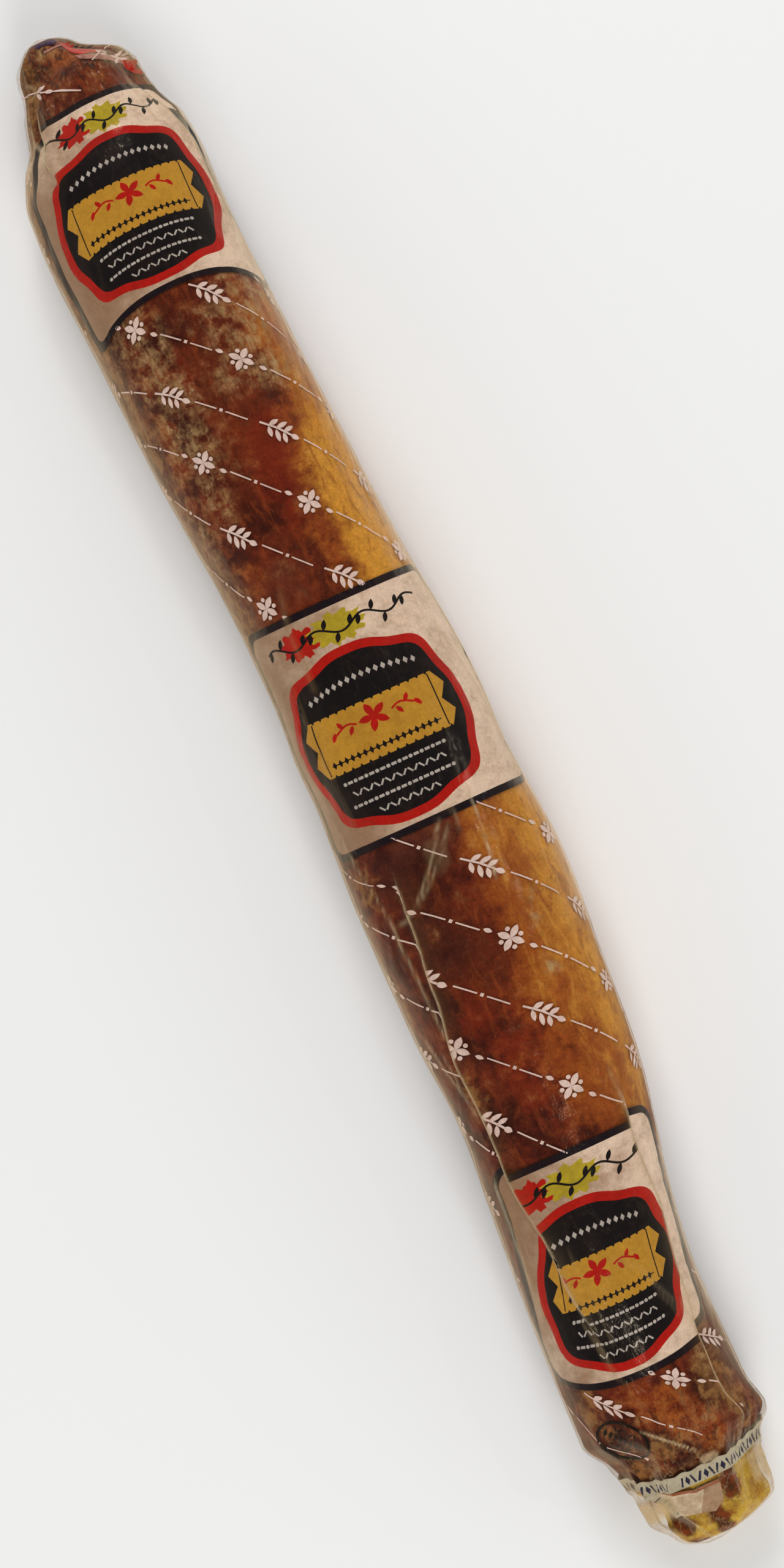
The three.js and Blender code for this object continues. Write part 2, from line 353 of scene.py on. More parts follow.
class WrappedFilm:
    """Finds where a point of the flat printed film lies on the pack."""

    def __init__(self):
        self.step = 2.0
        self.at = np.arange(0, LENGTH + 1, self.step)
        self.angles = np.linspace(-np.pi / 2, 3 * np.pi / 2, 1441)
        rows = []
        for at in self.at:
            where = np.full_like(self.angles, at)
            p = skin_point(where, self.angles, 0.0)
            arc = np.concatenate([[0], np.cumsum(np.linalg.norm(np.diff(p, axis=0), axis=1))])
            _, half_x, _, half_z = section(where)
            for fold in FOLDS.values():
                across = across_fold(fold, where, self.angles, (half_x + half_z) / 2)
                inside = (across > 0) & (across < FOLD_DROP)
                share = np.cumsum(inside) / max(inside.sum(), 1)
                start, end, less = fold.get("tuck_fade", (0, 1, 0))
                tuck = fold_strength(fold, where, TUCK) * (1 - less * smooth(where, start, end))
                arc = arc + tuck * share
            top = np.interp(np.pi / 2, self.angles, arc)
            rows.append((arc - top) / (arc[-1] - arc[0]))
        self.rows = np.array(rows)

    def angle(self, at, across):
        """The angle of points that lie `across` to the right of the top line of the flat film."""
        share = -np.asarray(across) / FILM_GIRTH
        share = share - np.round(share)
        row = np.clip(at / self.step, 0, len(self.at) - 1.001)
        low = np.floor(row).astype(int)
        out = np.zeros_like(share)
        for i in np.unique(low):
            here = low == i
            pair = []
            for r in (i, i + 1):
                first, last = self.rows[r][0], self.rows[r][-1]
                wanted = np.where(share[here] < first, share[here] + 1, share[here])
                wanted = np.where(wanted > last, wanted - 1, wanted)
                pair.append(np.interp(wanted, self.rows[r], self.angles))
            mix = row[here] - i
            jump = np.abs(pair[1] - pair[0]) > np.pi
            pair[1] = np.where(jump, pair[0], pair[1])
            out[here] = pair[0] * (1 - mix) + pair[1] * mix
        return out

    def place(self, along, across):
        """(at, angle) of points of the flat film."""
        across = across + HEAD_TWIST * (1 - smooth(along, 150, 225))
        across = across + TAIL_TWIST * smooth(along, 499, 514)
        middle = along + (HEAD_PRINT_END - np.minimum(along, HEAD_PRINT_END)) * (1 - HEAD_PRINT_SCALE)
        middle = middle + 1.5 * between(along, 0, 14, 95, 150)
        middle = middle - 2.6 * between(along, 440, 497, 506, 540)
        middle = np.clip(middle, 0.5, LENGTH - 0.5)
        head_sag = (2.5 + 5.5 * smooth(along, 20, 90)) * between(along, 0, 12, 100, 170)
        tail_sag = 6 * between(along, 430, 490, 505, 540)
        angle = self.angle(middle, across)
        for _ in range(2):
            side = np.clip((angle - np.pi / 2) / 1.05, -1.3, 1.3)
            at = middle + head_sag * (side + 0.12) ** 2 - tail_sag * side ** 2
            for fold in FOLDS.values():
                past = across_fold(fold, at, angle, FOLD_RADIUS)
                slip = fold_strength(fold, at, SLIP)
                at = at + slip * smooth(past, 0, FOLD_DROP) * np.exp(-np.maximum(past, 0) / 26)
            at = np.clip(at, 0.5, LENGTH - 0.5)
            angle = self.angle(at, across)
        return at, angle


# --- meshes

def add_object(name, data):
    piece = bpy.data.objects.new(name, data)
    bpy.context.scene.collection.objects.link(piece)
    return piece


def new_mesh(name, points, faces, materials):
    """A shown piece from points in millimetres, with its own materials."""
    mesh = bpy.data.meshes.new(name)
    mesh.from_pydata([tuple(p) for p in np.asarray(points) * MM], [], [tuple(f) for f in faces])
    for material in materials:
        mesh.materials.append(material)
    mesh.polygons.foreach_set("use_smooth", [True] * len(mesh.polygons))
    piece = add_object(name, mesh)
    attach(piece, "root")
    return piece


def closed_loft(name, rings, materials):
    """A closed skin through rings of points, from the head end to the tail end."""
    rows, around = rings.shape[:2]
    points = np.concatenate([rings.reshape(-1, 3), [rings[0].mean(0)], [rings[-1].mean(0)]])
    r, k = np.meshgrid(np.arange(rows - 1), np.arange(around), indexing="ij")
    a, b = r * around + k, r * around + (k + 1) % around
    quads = np.stack([a, b, b + around, a + around], -1).reshape(-1, 4)
    k = np.arange(around)
    last = (rows - 1) * around
    head = np.stack([np.full(around, rows * around), (k + 1) % around, k], -1)
    tail = np.stack([np.full(around, rows * around + 1), last + k, last + (k + 1) % around], -1)
    faces = [*map(tuple, quads), *map(tuple, head), *map(tuple, tail)]
    return new_mesh(name, points, faces, materials)


def write_values(piece, name, values):
    """A named value for each point of a piece."""
    data = piece.data.attributes.new(name, "FLOAT", "POINT").data
    data.foreach_set("value", values.astype(np.float32))


def write_mask(skin, name, values, ends=0.0):
    """A named value for each point of a lofted skin, with one for the middle of both ends."""
    write_values(skin, name, np.concatenate([np.ravel(values), [ends, ends]]))


def column_angles(at, counts):
    """The angles of a section's columns, with two of them on the drop of each fold."""
    drop = FOLD_DROP / FOLD_RADIUS
    order = sorted(FOLDS.values(), key=lambda fold: fold["path"][0][1])
    starts = [fold_angle(fold, at) - (0 if fold["side"] > 0 else drop) for fold in order]
    columns = []
    for i, start in enumerate(starts):
        lap = 0 if i + 1 < len(starts) else 2 * np.pi
        end = starts[(i + 1) % len(starts)] + lap
        columns += [start, start + drop / 2]
        columns += [start + drop + (end - start - drop) * k / counts[i] for k in range(counts[i])]
    return np.stack(columns, -1)


# --- flat shapes for the print

def ring_of(function, count):
    return np.array([function(2 * math.pi * i / count) for i in range(count)])


def rounded_box(middle_x, middle_y, width, height, radius, corner_points=7):
    points = []
    for turn, (sx, sy) in enumerate([(1, 1), (-1, 1), (-1, -1), (1, -1)]):
        cx = middle_x + sx * (width / 2 - radius)
        cy = middle_y + sy * (height / 2 - radius)
        for i in range(corner_points):
            angle = math.pi / 2 * (turn + i / (corner_points - 1))
            points.append((cx + radius * math.cos(angle), cy + radius * math.sin(angle)))
    return np.array(points)


def turned(shape, degrees):
    c, s = math.cos(math.radians(degrees)), math.sin(math.radians(degrees))
    return shape @ np.array([[c, s], [-s, c]])


def oval(middle_x, middle_y, radius_x, radius_y, count=48):
    return ring_of(lambda a: (middle_x + radius_x * math.cos(a),
                              middle_y + radius_y * math.sin(a)), count)


def leaf(x, y, length, width, degrees, count=6):
    """An almond shape from its foot at x, y, pointing the given way."""
    t = np.linspace(0, 1, count)
    half = width / 2 * np.sin(np.pi * t) ** 0.8
    edge = np.concatenate([np.stack([t * length, half], -1),
                           np.stack([t * length, -half], -1)[-2:0:-1]])
    return turned(edge[::-1], degrees) + (x, y)


def bar(x, y, length, width, degrees=0.0):
    """A straight bar with its middle at x, y."""
    corners = np.array([(-length, -width), (length, -width), (length, width), (-length, width)])
    return turned(corners / 2, degrees) + (x, y)


def jagged(x, y, radius_x, radius_y, teeth, seed):
    """A patch with a brushed, toothed edge."""
    def point(a):
        tooth = 1 + 0.16 * math.sin(a * teeth + seed) + 0.09 * math.sin(a * teeth * 2.3 + seed * 3)
        return (x + radius_x * tooth * math.cos(a), y + radius_y * tooth * math.sin(a))
    return ring_of(point, teeth * 5)


def lozenge(x, y, width, height):
    return np.array([(x + width / 2, y), (x, y + height / 2), (x - width / 2, y),
                     (x, y - height / 2)])


def line_of(points, width):
    """A band of even width along a path."""
    path = np.array(points, float)
    run = np.gradient(path, axis=0)
    side = np.stack([-run[:, 1], run[:, 0]], -1)
    side *= width / 2 / np.linalg.norm(side, axis=1, keepdims=True)
    return np.concatenate([path - side, (path + side)[::-1]])


def marks_row(kind, y, first, last, pitch, height, bow=0.0):
    """A row of small ornaments, which may bow like an arch."""
    shapes = []
    for i, x in enumerate(np.arange(first, last, pitch)):
        level = y + bow * (1 - (2 * (x - first) / (last - first) - 1) ** 2)
        if kind == "dash_dot":
            shapes.append(bar(x, level, pitch * 0.9, height * 0.5) if i % 2
                          else oval(x, level, height * 0.36, height * 0.36, 8))
        elif kind == "lozenge":
            shapes.append(lozenge(x, level, pitch * 0.72, height))
        else:
            shapes.append(bar(x, level, height * 1.15, height * 0.32, 52 if i % 2 else -52))
    return shapes


def inside(polygon, points):
    """Whether each point lies inside the polygon."""
    low, high = polygon.min(0), polygon.max(0)
    near = np.all((points >= low) & (points <= high), axis=1)
    x, y = points[near].T
    crossings = np.zeros(len(x), bool)
    for (x0, y0), (x1, y1) in zip(polygon, np.roll(polygon, -1, 0)):
        if y0 == y1:
            continue
        spans = (y0 > y) != (y1 > y)
        crossings ^= spans & (x < (x1 - x0) * (y - y0) / (y1 - y0) + x0)
    result = np.zeros(len(points), bool)
    result[near] = crossings
    return result


def densified(polygon, spacing):
    points = []
    for start, end in zip(polygon, np.roll(polygon, -1, 0)):
        steps = max(1, int(np.ceil(np.linalg.norm(end - start) / spacing)))
        points += [start + (end - start) * i / steps for i in range(steps)]
    return np.array(points)


def loop_edges(first, count):
    return [(first + i, first + (i + 1) % count) for i in range(count)]


def lean_and_painted_shade(at, angle):
    """How much the print turns to its shade: dark lean under it, and painted shade, most on the left
    side.
    """
    across = plan_across(at, angle)
    return (1 - smooth(across, -34, 26) - 0.35 * (1 - smooth(at, 40, 62))
            + 0.25 * (1 - smooth(at, 60, 130)) * smooth(across, 0, 20) - 0.3 * smooth(at, 432, 470))


def print_sheet(name, layers, spacing, place, inks, under=PRINT_UNDER_FILM):
    """One thin sheet of print: flat polygons, each with the number of its ink, the later ones on
    top. They are cut into triangles along all their outlines and then laid on the film. place
    turns flat points into (at, angle). Ink -1 cuts a hole."""
    points, edges = [], []
    polygons = [(densified(polygon, spacing), slot) for polygon, slot in layers]
    for polygon, _ in polygons:
        edges += loop_edges(len(points), len(polygon))
        points += [Vector(p) for p in polygon]
    corners = np.concatenate([polygon for polygon, _ in polygons])
    xs = np.arange(corners[:, 0].min(), corners[:, 0].max(), spacing)
    ys = np.arange(corners[:, 1].min(), corners[:, 1].max(), spacing)
    grid = np.stack(np.meshgrid(xs, ys), -1).reshape(-1, 2)
    kept = np.any([inside(polygon, grid) for polygon, _ in polygons], axis=0)
    points += [Vector(p) for p in grid[kept]]
    flat, _, faces, *_ = delaunay_2d_cdt(points, edges, [], 0, 1e-4)
    flat = np.array([tuple(p) for p in flat])
    faces = np.array([face for face in faces if len(face) == 3])
    middles = flat[faces].mean(1)
    slots = np.full(len(faces), -1)
    for polygon, slot in polygons:
        slots[inside(polygon, middles)] = slot
    faces, slots = faces[slots >= 0], slots[slots >= 0]
    used, faces = np.unique(faces, return_inverse=True)
    faces = faces.reshape(-1, 3)
    at, angle = place(flat[used])
    piece = new_mesh(name, film_point(at, angle, under), faces, [INKS[ink] for ink in inks])
    piece.data.polygons.foreach_set("material_index", slots.astype(np.int32))
    # The print's shade: dark lean under it, and painted shade, most on the left side.
    write_values(piece, "lean_and_painted_shade", lean_and_painted_shade(at, angle))
    layer = piece.data.uv_layers.new(name="print")
    corner = faces.reshape(-1)
    layer.data.foreach_set("uv", (flat[used][corner] * MM).astype(np.float32).ravel())


# --- nodes

def srgb(red, green, blue):
    """A display colour from 0 to 255 as the linear colour that a shader takes."""
    def linear(v):
        v /= 255
        return v / 12.92 if v <= 0.04045 else ((v + 0.055) / 1.055) ** 2.4
    return (linear(red), linear(green), linear(blue), 1.0)


class Out:
    """A node's output. Sums and comparisons with it add math nodes to its tree."""

    def __init__(self, graph, socket):
        self.graph, self.socket = graph, socket


def math_node(operation, swapped=False):
    """A method for an output that adds a math node."""
    def add_node(a, b=0.0):
        inputs = {0: b, 1: a} if swapped else {0: a, 1: b}
        return a.graph.put("ShaderNodeMath", inputs, operation=operation)
    return add_node


for method, operation in (
        ("__add__", "ADD"), ("__radd__", "ADD"), ("__sub__", "SUBTRACT"), ("__mul__", "MULTIPLY"),
        ("__rmul__", "MULTIPLY"), ("__truediv__", "DIVIDE"), ("__mod__", "FLOORED_MODULO"),
        ("__pow__", "POWER"), ("__lt__", "LESS_THAN"), ("__abs__", "ABSOLUTE"),
        ("__round__", "ROUND"), ("at_most", "MINIMUM")):
    setattr(Out, method, math_node(operation))
Out.__rsub__ = math_node("SUBTRACT", swapped=True)


class Graph:
    """A node tree, and the nodes that the materials and the pattern use."""

    def __init__(self, tree):
        self.tree = tree

    def put(self, kind, inputs=None, output=0, **settings):
        """Adds a node and gives one of its outputs. An input is given by name or number, as a
        value or as another node's output."""
        node = self.tree.nodes.new(kind)
        for key, value in settings.items():
            setattr(node, key, value)
        for key, value in (inputs or {}).items():
            if isinstance(value, Out):
                self.link(value, node.inputs[key])
            else:
                node.inputs[key].default_value = value
        return Out(self, node.outputs[output])

    def link(self, value, socket):
        self.tree.links.new(value.socket, socket)

    def blend(self, amount, a, b, mode="MIX"):
        return self.put("ShaderNodeMix", {0: amount, 6: a, 7: b}, 2, data_type="RGBA", blend_type=mode)

    def ramp(self, value, low, high, to_low=0.0, to_high=1.0):
        return self.put("ShaderNodeMapRange", {0: value, 1: low, 2: high, 3: to_low, 4: to_high},
                        interpolation_type="SMOOTHSTEP")

    def noise(self, vector, size, detail, rough, distortion=0.0):
        """Noise with lumps of the given size in metres."""
        return self.put("ShaderNodeTexNoise", {
            "Vector": vector, "Scale": 1 / size, "Detail": detail, "Roughness": rough,
            "Distortion": distortion}, "Fac")

    def mask(self, name):
        return self.put("ShaderNodeAttribute", {}, "Fac", attribute_name=name)

    def here(self):
        return self.put("ShaderNodeTexCoord", {}, "Object")

    def shifted(self, vector, offset, scale=(1, 1, 1), turn=(0, 0, 0)):
        return self.put("ShaderNodeMapping", {"Vector": vector, "Location": offset, "Scale": scale,
                                              "Rotation": turn})

    def bump(self, height, strength, distance):
        return self.put("ShaderNodeBump", {"Strength": strength, "Distance": distance,
                                           "Height": height})

    def use(self, group, **inputs):
        """Places a node group, and gives its outputs by name."""
        node = self.put("ShaderNodeGroup", inputs, node_tree=group).socket.node
        return {socket.name: Out(self, socket) for socket in node.outputs}


def new_group(name, inputs, outputs):
    """A shader node group with named inputs {name: (socket type, value)} and outputs."""
    group = bpy.data.node_groups.new(name, "ShaderNodeTree")
    for label, (kind, value) in inputs.items():
        socket = group.interface.new_socket(label, in_out="INPUT", socket_type=kind)
        if value is not None:
            socket.default_value = value
    for label, kind in outputs.items():
        group.interface.new_socket(label, in_out="OUTPUT", socket_type=kind)
    graph = Graph(group)
    entry = group.nodes.new("NodeGroupInput").outputs
    given = {label: Out(graph, entry[label]) for label in inputs}
    return graph, given, group.nodes.new("NodeGroupOutput").inputs


def new_material(name, **principled):
    material = bpy.data.materials.new(name)
    material.use_nodes = True
    shader = material.node_tree.nodes["Principled BSDF"]
    for key, value in principled.items():
        shader.inputs[key.replace("_", " ")].default_value = value
    return material, Graph(material.node_tree), shader


# --- shared effects

def make_ragged_edge():
    """Turns a soft mask into a patch with an uneven, natural edge."""
    graph, given, out = new_group(
        "ragged_edge",
        {"Mask": ("NodeSocketFloat", 0.0), "Lumps": ("NodeSocketFloat", 0.5),
         "Unevenness": ("NodeSocketFloat", 0.6), "Softness": ("NodeSocketFloat", 0.2)},
        {"Patch": "NodeSocketFloat"})
    moved = given["Mask"] + (given["Lumps"] - 0.5) * given["Unevenness"]
    softness = given["Softness"]
    graph.link(graph.ramp(moved, 0.5 - softness, 0.5 + softness), out["Patch"])
    return graph.tree


def make_fine_grain():
    """Fine speckle that darkens and lightens a colour, and the height for its bump."""
    graph, given, out = new_group(
        "fine_grain",
        {"Vector": ("NodeSocketVector", None), "Color": ("NodeSocketColor", (0.5, 0.5, 0.5, 1)),
         "Amount": ("NodeSocketFloat", 0.2)},
        {"Color": "NodeSocketColor", "Height": "NodeSocketFloat"})
    fine = graph.noise(given["Vector"], 0.0009, 2.0, 0.6)
    coarse = graph.noise(given["Vector"], 0.0032, 3.0, 0.6)
    both = fine * 0.55 + coarse * 0.45
    level = (both - 0.5) * given["Amount"] * 4.0 + 1.0
    grey = graph.put("ShaderNodeCombineColor", {0: level, 1: level, 2: level})
    graph.link(graph.blend(1.0, given["Color"], grey, "MULTIPLY"), out["Color"])
    graph.link(both, out["Height"])
    return graph.tree


RAGGED_EDGE = make_ragged_edge()
FINE_GRAIN = make_fine_grain()


# --- materials

def loin_material():
    """Cured lean meat and fat, mottled and streaked, with mould bloom on the casing."""
    material, graph, shader = new_material("cured_loin", Roughness=0.6, Specular_IOR_Level=0.15)
    ramp, here = graph.ramp, graph.here()

    def lumps(offset, scale, *grain, turn=0.0):
        return graph.noise(graph.shifted(here, offset, scale, (0, 0, math.radians(turn))), *grain)

    fibre = lumps((0, 0, 0), (1, 0.3, 1), 0.0045, 5.0, 0.66, 1.1, turn=-12)
    broad = graph.noise(here, 0.04, 3.0, 0.5)
    middle = lumps((0.3, 0.1, 0.7), (1, 1, 1), 0.013, 5.0, 0.62)
    small = lumps((0.9, 0.4, 0.2), (1, 1, 1), 0.0042, 5.0, 0.68)
    streak = lumps((0, 0, 0), (1, 0.16, 1), 0.0019, 3.0, 0.62)
    speckle = lumps((0.5, 0.2, 0), (1, 0.4, 1), 0.0017, 4.0, 0.7)

    def patch(name, unevenness_by, unevenness=1.6, softness=0.25):
        return graph.use(RAGGED_EDGE, Mask=graph.mask(name), Lumps=unevenness_by,
                         Unevenness=unevenness, Softness=softness)["Patch"]

    def tone(amount, low_color, high_color):
        return graph.blend(amount, srgb(*low_color), srgb(*high_color))

    fat = patch("fat", small * 0.35 + middle * 0.65, 1.9, 0.62)
    fat_tone = tone(ramp(middle * 0.8 + graph.mask("rich"), 0.55, 1.25), (150, 76, 26), (202, 138, 44))
    fat_tone = graph.blend(ramp(fibre, 0.5, 0.66) * 0.4, fat_tone, srgb(206, 146, 56))
    fat_tone = graph.blend(ramp(fibre, 0.47, 0.36) * 0.5, fat_tone, srgb(130, 62, 20))
    bloom = patch("bloom", middle, 2.2, 0.4) * ramp(small, 0.38, 0.62)
    bloom = bloom * ramp(speckle, 0.4, 0.6, 0.4, 1.15)
    spots = graph.mask("spots")

    # The layers, each over the one before: where it shows, how strongly, its colour
    color = tone(ramp(middle, 0.38, 0.60), (64, 22, 14), (104, 37, 18))
    for amount, level, top in (
            (ramp(broad, 0.46, 0.66), 0.45, srgb(124, 50, 20)),
            (ramp(small, 0.50, 0.68), 0.4, srgb(128, 60, 26)),
            (ramp(small, 0.46, 0.34), 0.35, srgb(46, 18, 12)),
            (ramp(fibre, 0.52, 0.68), 0.5, srgb(140, 62, 24)),
            (ramp(fibre, 0.48, 0.34), 0.4, srgb(54, 20, 12)),
            (patch("brick", middle), 0.6, srgb(124, 36, 14)),
            (patch("orange", middle), 0.7, tone(ramp(small, 0.4, 0.62), (130, 54, 18), (170, 92, 34))),
            (patch("deep", middle), 0.7, srgb(56, 24, 18)),
            (patch("purple", middle), 0.65, srgb(90, 44, 32)),
            (patch("olive", small), 0.75, tone(ramp(small, 0.4, 0.6), (102, 60, 28), (150, 104, 54))),
            (ramp(fat, 0.0, 0.55), 0.85, srgb(140, 66, 22)),
            (ramp(fat, 0.3, 0.95), 1.0, fat_tone),
            (patch("gold", middle, 0.8, 0.2), 1.0,
             tone(ramp(middle, 0.44, 0.68), (196, 156, 52), (156, 102, 32))),
            (patch("clot", small, 1.7, 0.34), 0.95,
             tone(ramp(small, 0.42, 0.6), (62, 16, 8), (118, 44, 14))),
            (bloom, 0.7, srgb(158, 124, 80)),
            (bloom * ramp(fibre, 0.5, 0.62), 0.5, srgb(178, 148, 106)),
            (spots * ramp(streak, 0.5, 0.36), 0.8, srgb(54, 28, 20)),
            (spots * ramp(streak, 0.56, 0.68), 0.4, srgb(158, 110, 66)),
            (spots * ramp(small, 0.38, 0.32), 0.9, srgb(36, 24, 20))):
        color = graph.blend(amount * level, color, top)
    grained = graph.use(FINE_GRAIN, Vector=here, Color=color, Amount=0.36)
    graph.link(grained["Color"], shader.inputs["Base Color"])
    graph.link(graph.bump(small * 0.8 + grained["Height"], 0.4, 0.0007), shader.inputs["Normal"])
    return material


def ink_material(name, color, show, thin, shade=None):
    """Ink on the film. Where it is thin, the colour of the meat under it shows, and where the label lies
    over the dark lean or in painted shade on its left side, its colour turns to the shade."""
    material, graph, shader = new_material(name, Roughness=0.45, Specular_IOR_Level=0.1)
    here, color = graph.here(), srgb(*color)
    broad = graph.noise(here, 0.013, 4.0, 0.6)
    small = graph.noise(graph.shifted(here, (0.2, 0.5, 0.1)), 0.0028, 4.0, 0.66)
    if shade:
        # painted shade: the label turns towards its shade colour on the left side
        dim = graph.mask("lean_and_painted_shade") + (broad - 0.5) * 1.2
        color = graph.blend(graph.ramp(dim, 0.0, 1.0), color, srgb(*shade))
    worn = graph.ramp(small * 0.6 + broad * 0.6, 0.52, 0.86) * thin
    color = graph.blend(worn, color, srgb(*show))
    grained = graph.use(FINE_GRAIN, Vector=here, Color=color, Amount=0.2)
    graph.link(grained["Color"], shader.inputs["Base Color"])
    return material


def film_material():
    """Clear film: what lies under it shows, with a sheen that grows towards the edges, and haze where
    the film is folded, crumpled or off the meat. The haze also holds painted highlights, and the colours
    of haze and sheen are darker on the left side: painted shade."""
    material, graph, shader = new_material("clear_film", Roughness=0.5, Specular_IOR_Level=0.2)
    here, pale = graph.here(), graph.mask("pale")
    stretched = graph.shifted(here, (0, 0, 0), (1, 0.3, 1), (0, 0, math.radians(8)))
    creases = graph.noise(stretched, 0.011, 4.0, 0.6)
    small = graph.noise(here, 0.004, 3.0, 0.6)
    bump = graph.bump(creases + small * 0.3, 0.5, 0.0011)
    # painted shade: the reflection's colour is tan on the left side and cream on the right
    glow = graph.blend(pale, (0.74, 0.56, 0.34, 1), (1, 0.86, 0.66, 1))
    gloss = graph.put("ShaderNodeBsdfGlossy", {"Color": glow, "Roughness": 0.16, "Normal": bump})
    clear = graph.put("ShaderNodeBsdfTransparent")
    facing = graph.put("ShaderNodeLayerWeight", {"Blend": 0.5, "Normal": bump}, "Facing")
    sheen = facing ** 3.2 * graph.mask("sheen") + 0.02
    shine = graph.put("ShaderNodeMixShader", {0: sheen, 1: clear, 2: gloss})
    # painted shade: the haze is tan on the left side and cream on the right
    tan = graph.blend(small, srgb(192, 150, 92), srgb(158, 118, 66))
    cream = graph.blend(small, srgb(232, 210, 168), srgb(212, 184, 138))
    graph.link(graph.blend(pale, tan, cream), shader.inputs["Base Color"])
    graph.link(bump, shader.inputs["Normal"])
    lines = graph.ramp(abs(creases - 0.5), 0.016, 0.0) * graph.mask("slack")
    # haze from crumpled lines, and the painted highlights carried by the haze attribute
    haze_and_painted_highlights = lines * 0.18 + graph.mask("haze_and_painted_highlights") * graph.ramp(small, 0.2, 0.7, 0.6, 1.1)
    milky = Out(graph, shader.outputs[0])
    skin = graph.put("ShaderNodeMixShader", {0: haze_and_painted_highlights.at_most(0.8), 1: shine, 2: milky})
    graph.link(skin, graph.tree.nodes["Material Output"].inputs["Surface"])
    return material


LOIN = loin_material()
FILM = film_material()

# Inks: name, colour, the colour that shows where the ink is thin, how much of it shows, and the shade
# colour, a painted shade over dark lean and on the left side
INKS = {name: ink_material(name, *look) for name, *look in (
    ("label_cream", (222, 194, 168), (152, 112, 84), 0.6, (152, 118, 90)),
    ("label_edge", (30, 22, 26), (60, 34, 28), 0.3),
    ("medallion_dark", (26, 22, 22), (60, 38, 34), 0.3),
    ("label_red", (176, 26, 18), (128, 34, 22), 0.5),
    ("label_ochre", (187, 136, 46), (150, 98, 36), 0.5),
    ("label_yellow", (176, 152, 38), (140, 116, 46), 0.5),
    ("label_marks", (182, 170, 158), (100, 86, 76), 0.4),
    ("white_print", (220, 192, 178), (176, 138, 120), 0.5),
    ("stamp_ink", (26, 20, 16), (54, 40, 26), 0.5),
    ("tail_strip_print", (184, 172, 144), (146, 126, 98), 0.6),
    ("tail_strip_marks", (44, 42, 62), (84, 76, 80), 0.5),
    ("tip_orange_red", (178, 18, 8), (130, 30, 16), 0.5),
    ("tip_purple", (52, 24, 62), (100, 56, 60), 0.6),
    ("tail_pale_print", (212, 190, 158), (160, 122, 88), 0.7),
    ("tail_pale_print_shade", (176, 142, 110), (140, 102, 72), 0.8),
    ("tail_brown_fold", (150, 84, 50), (110, 60, 40), 0.5),
    ("tip_pink", (176, 122, 108), (104, 54, 42), 1.0))}


# --- the pieces

# Milky places of the film, and a painted highlight on the tail strip (the last, at 531): distance,
# across, half length, half width, level
HAZE_AND_GLINT_SPOTS = [(17, 14, 4, 6, 0.14), (484, 17, 8, 4, 0.16), (308, 1, 6, 4, 0.1),
              (531, 1, 1.8, 3, 0.45)]


def make_film():
    body = np.arange(60, 500, 1.75)
    at = np.concatenate([np.linspace(0, 60, 61)[:-1], body, np.linspace(500, LENGTH, 61)])
    angles = column_angles(at, COLUMNS_BETWEEN_FOLDS)
    where = np.broadcast_to(at[:, None], angles.shape)
    rings = film_point(where, angles)
    film = closed_loft("clear_film", rings, [FILM])
    haze_and_painted_highlights, pale, sheen = film_haze_and_painted_light(where, angles, rings)
    write_mask(film, "haze_and_painted_highlights", haze_and_painted_highlights, 0.3)
    write_mask(film, "pale", pale, 0.5)
    write_mask(film, "sheen", sheen, 0.4)
    slack = 0.6 * (1 - smooth(where, 10, 34)) + smooth(where, 500, 534)
    write_mask(film, "slack", np.clip(slack + 0.08, 0, 1), 0.6)
    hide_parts("wrapped_loin")


def film_haze_and_painted_light(where, angles, rings):
    """How milky, with painted highlights, how pale, with painted shade on the left, and how shiny
    towards its edges the film is at each point.
    """
    middle_x, half_x, _, half_z = section(where)
    across, side = plan_across(where, angles), np.cos(angles)
    upper = smooth(np.sin(angles), -0.15, 0.1)
    lines = crease_layers(where, angles)[1]
    flaps = 0.0
    for fold in FOLDS.values():
        past = across_fold(fold, where, angles, (half_x + half_z) / 2)
        strength = fold_strength(fold, where)
        lines = np.maximum(lines, 0.66 * strength ** 3 * np.exp(-((past - 0.1) / 0.42) ** 2))
        flaps = flaps + 0.10 * strength * np.where(past < 0, np.exp(past / 2.5), 0)
    dull = smooth(cloud(rings, 30, 41) + 0.5 * cloud(rings, 9, 42), -0.5, 0.6)
    # A pale band along the outline seen from above: partly the film standing off the meat, partly a
    # painted sheen where the surface turns away.
    from_rim = half_x - np.abs(across - middle_x)
    rim_haze_and_painted_sheen = (1 - smooth(from_rim, 0.3, 2.6)) * (0.1 + 0.14 * dull) * (0.4 + 0.6 * upper)
    off_left = between(where, 537, 541, 544, 548) * smooth(-side, 0.45, 0.62)
    off_right = between(where, 534, 538, 545, 549) * smooth(side, 0.74, 0.86)
    haze_and_painted_highlights = flaps + rim_haze_and_painted_sheen + 0.7 * off_left + (0.3 + 0.2 * dull) * off_right
    # painted highlight: the last spot paints the glint on the tail strip
    for at_spot, middle, half_length, half_width, level in HAZE_AND_GLINT_SPOTS:
        reach = ((where - at_spot) / half_length) ** 2 + ((across - middle) / half_width) ** 2
        haze_and_painted_highlights = haze_and_painted_highlights + level * smooth(-reach, -1.3, -0.7) * upper
    # painted shade: the film is tan on the left side and cream on the right, as if the light came from
    # the right; it is paler also along creases and at the tail's end
    right = smooth(side, -0.3, 0.3)
    brown_stretch = between(where, 338, 354, 416, 434)
    pale = right * (0.8 - 0.7 * brown_stretch) + (1 - right) * (0.12 + 0.4 * smooth(where, 428, 448))
    pale = np.maximum(pale, 0.7 * smooth(where, 528, 536))
    tail_meat = between(where, 482, 492, 524, 531)
    sheen = (0.35 + 0.55 * smooth(where, 14, 46)) * (1 - 0.7 * right * brown_stretch)
    sheen = sheen * (1 - 0.35 * tail_meat) * (1 - 0.45 * smooth(where, 546, 554))
    pale = np.maximum(pale * (1 - 0.7 * tail_meat), smooth(lines, 0.08, 0.25))
    return np.clip(np.maximum(haze_and_painted_highlights, lines), 0, 0.85), pale, sheen


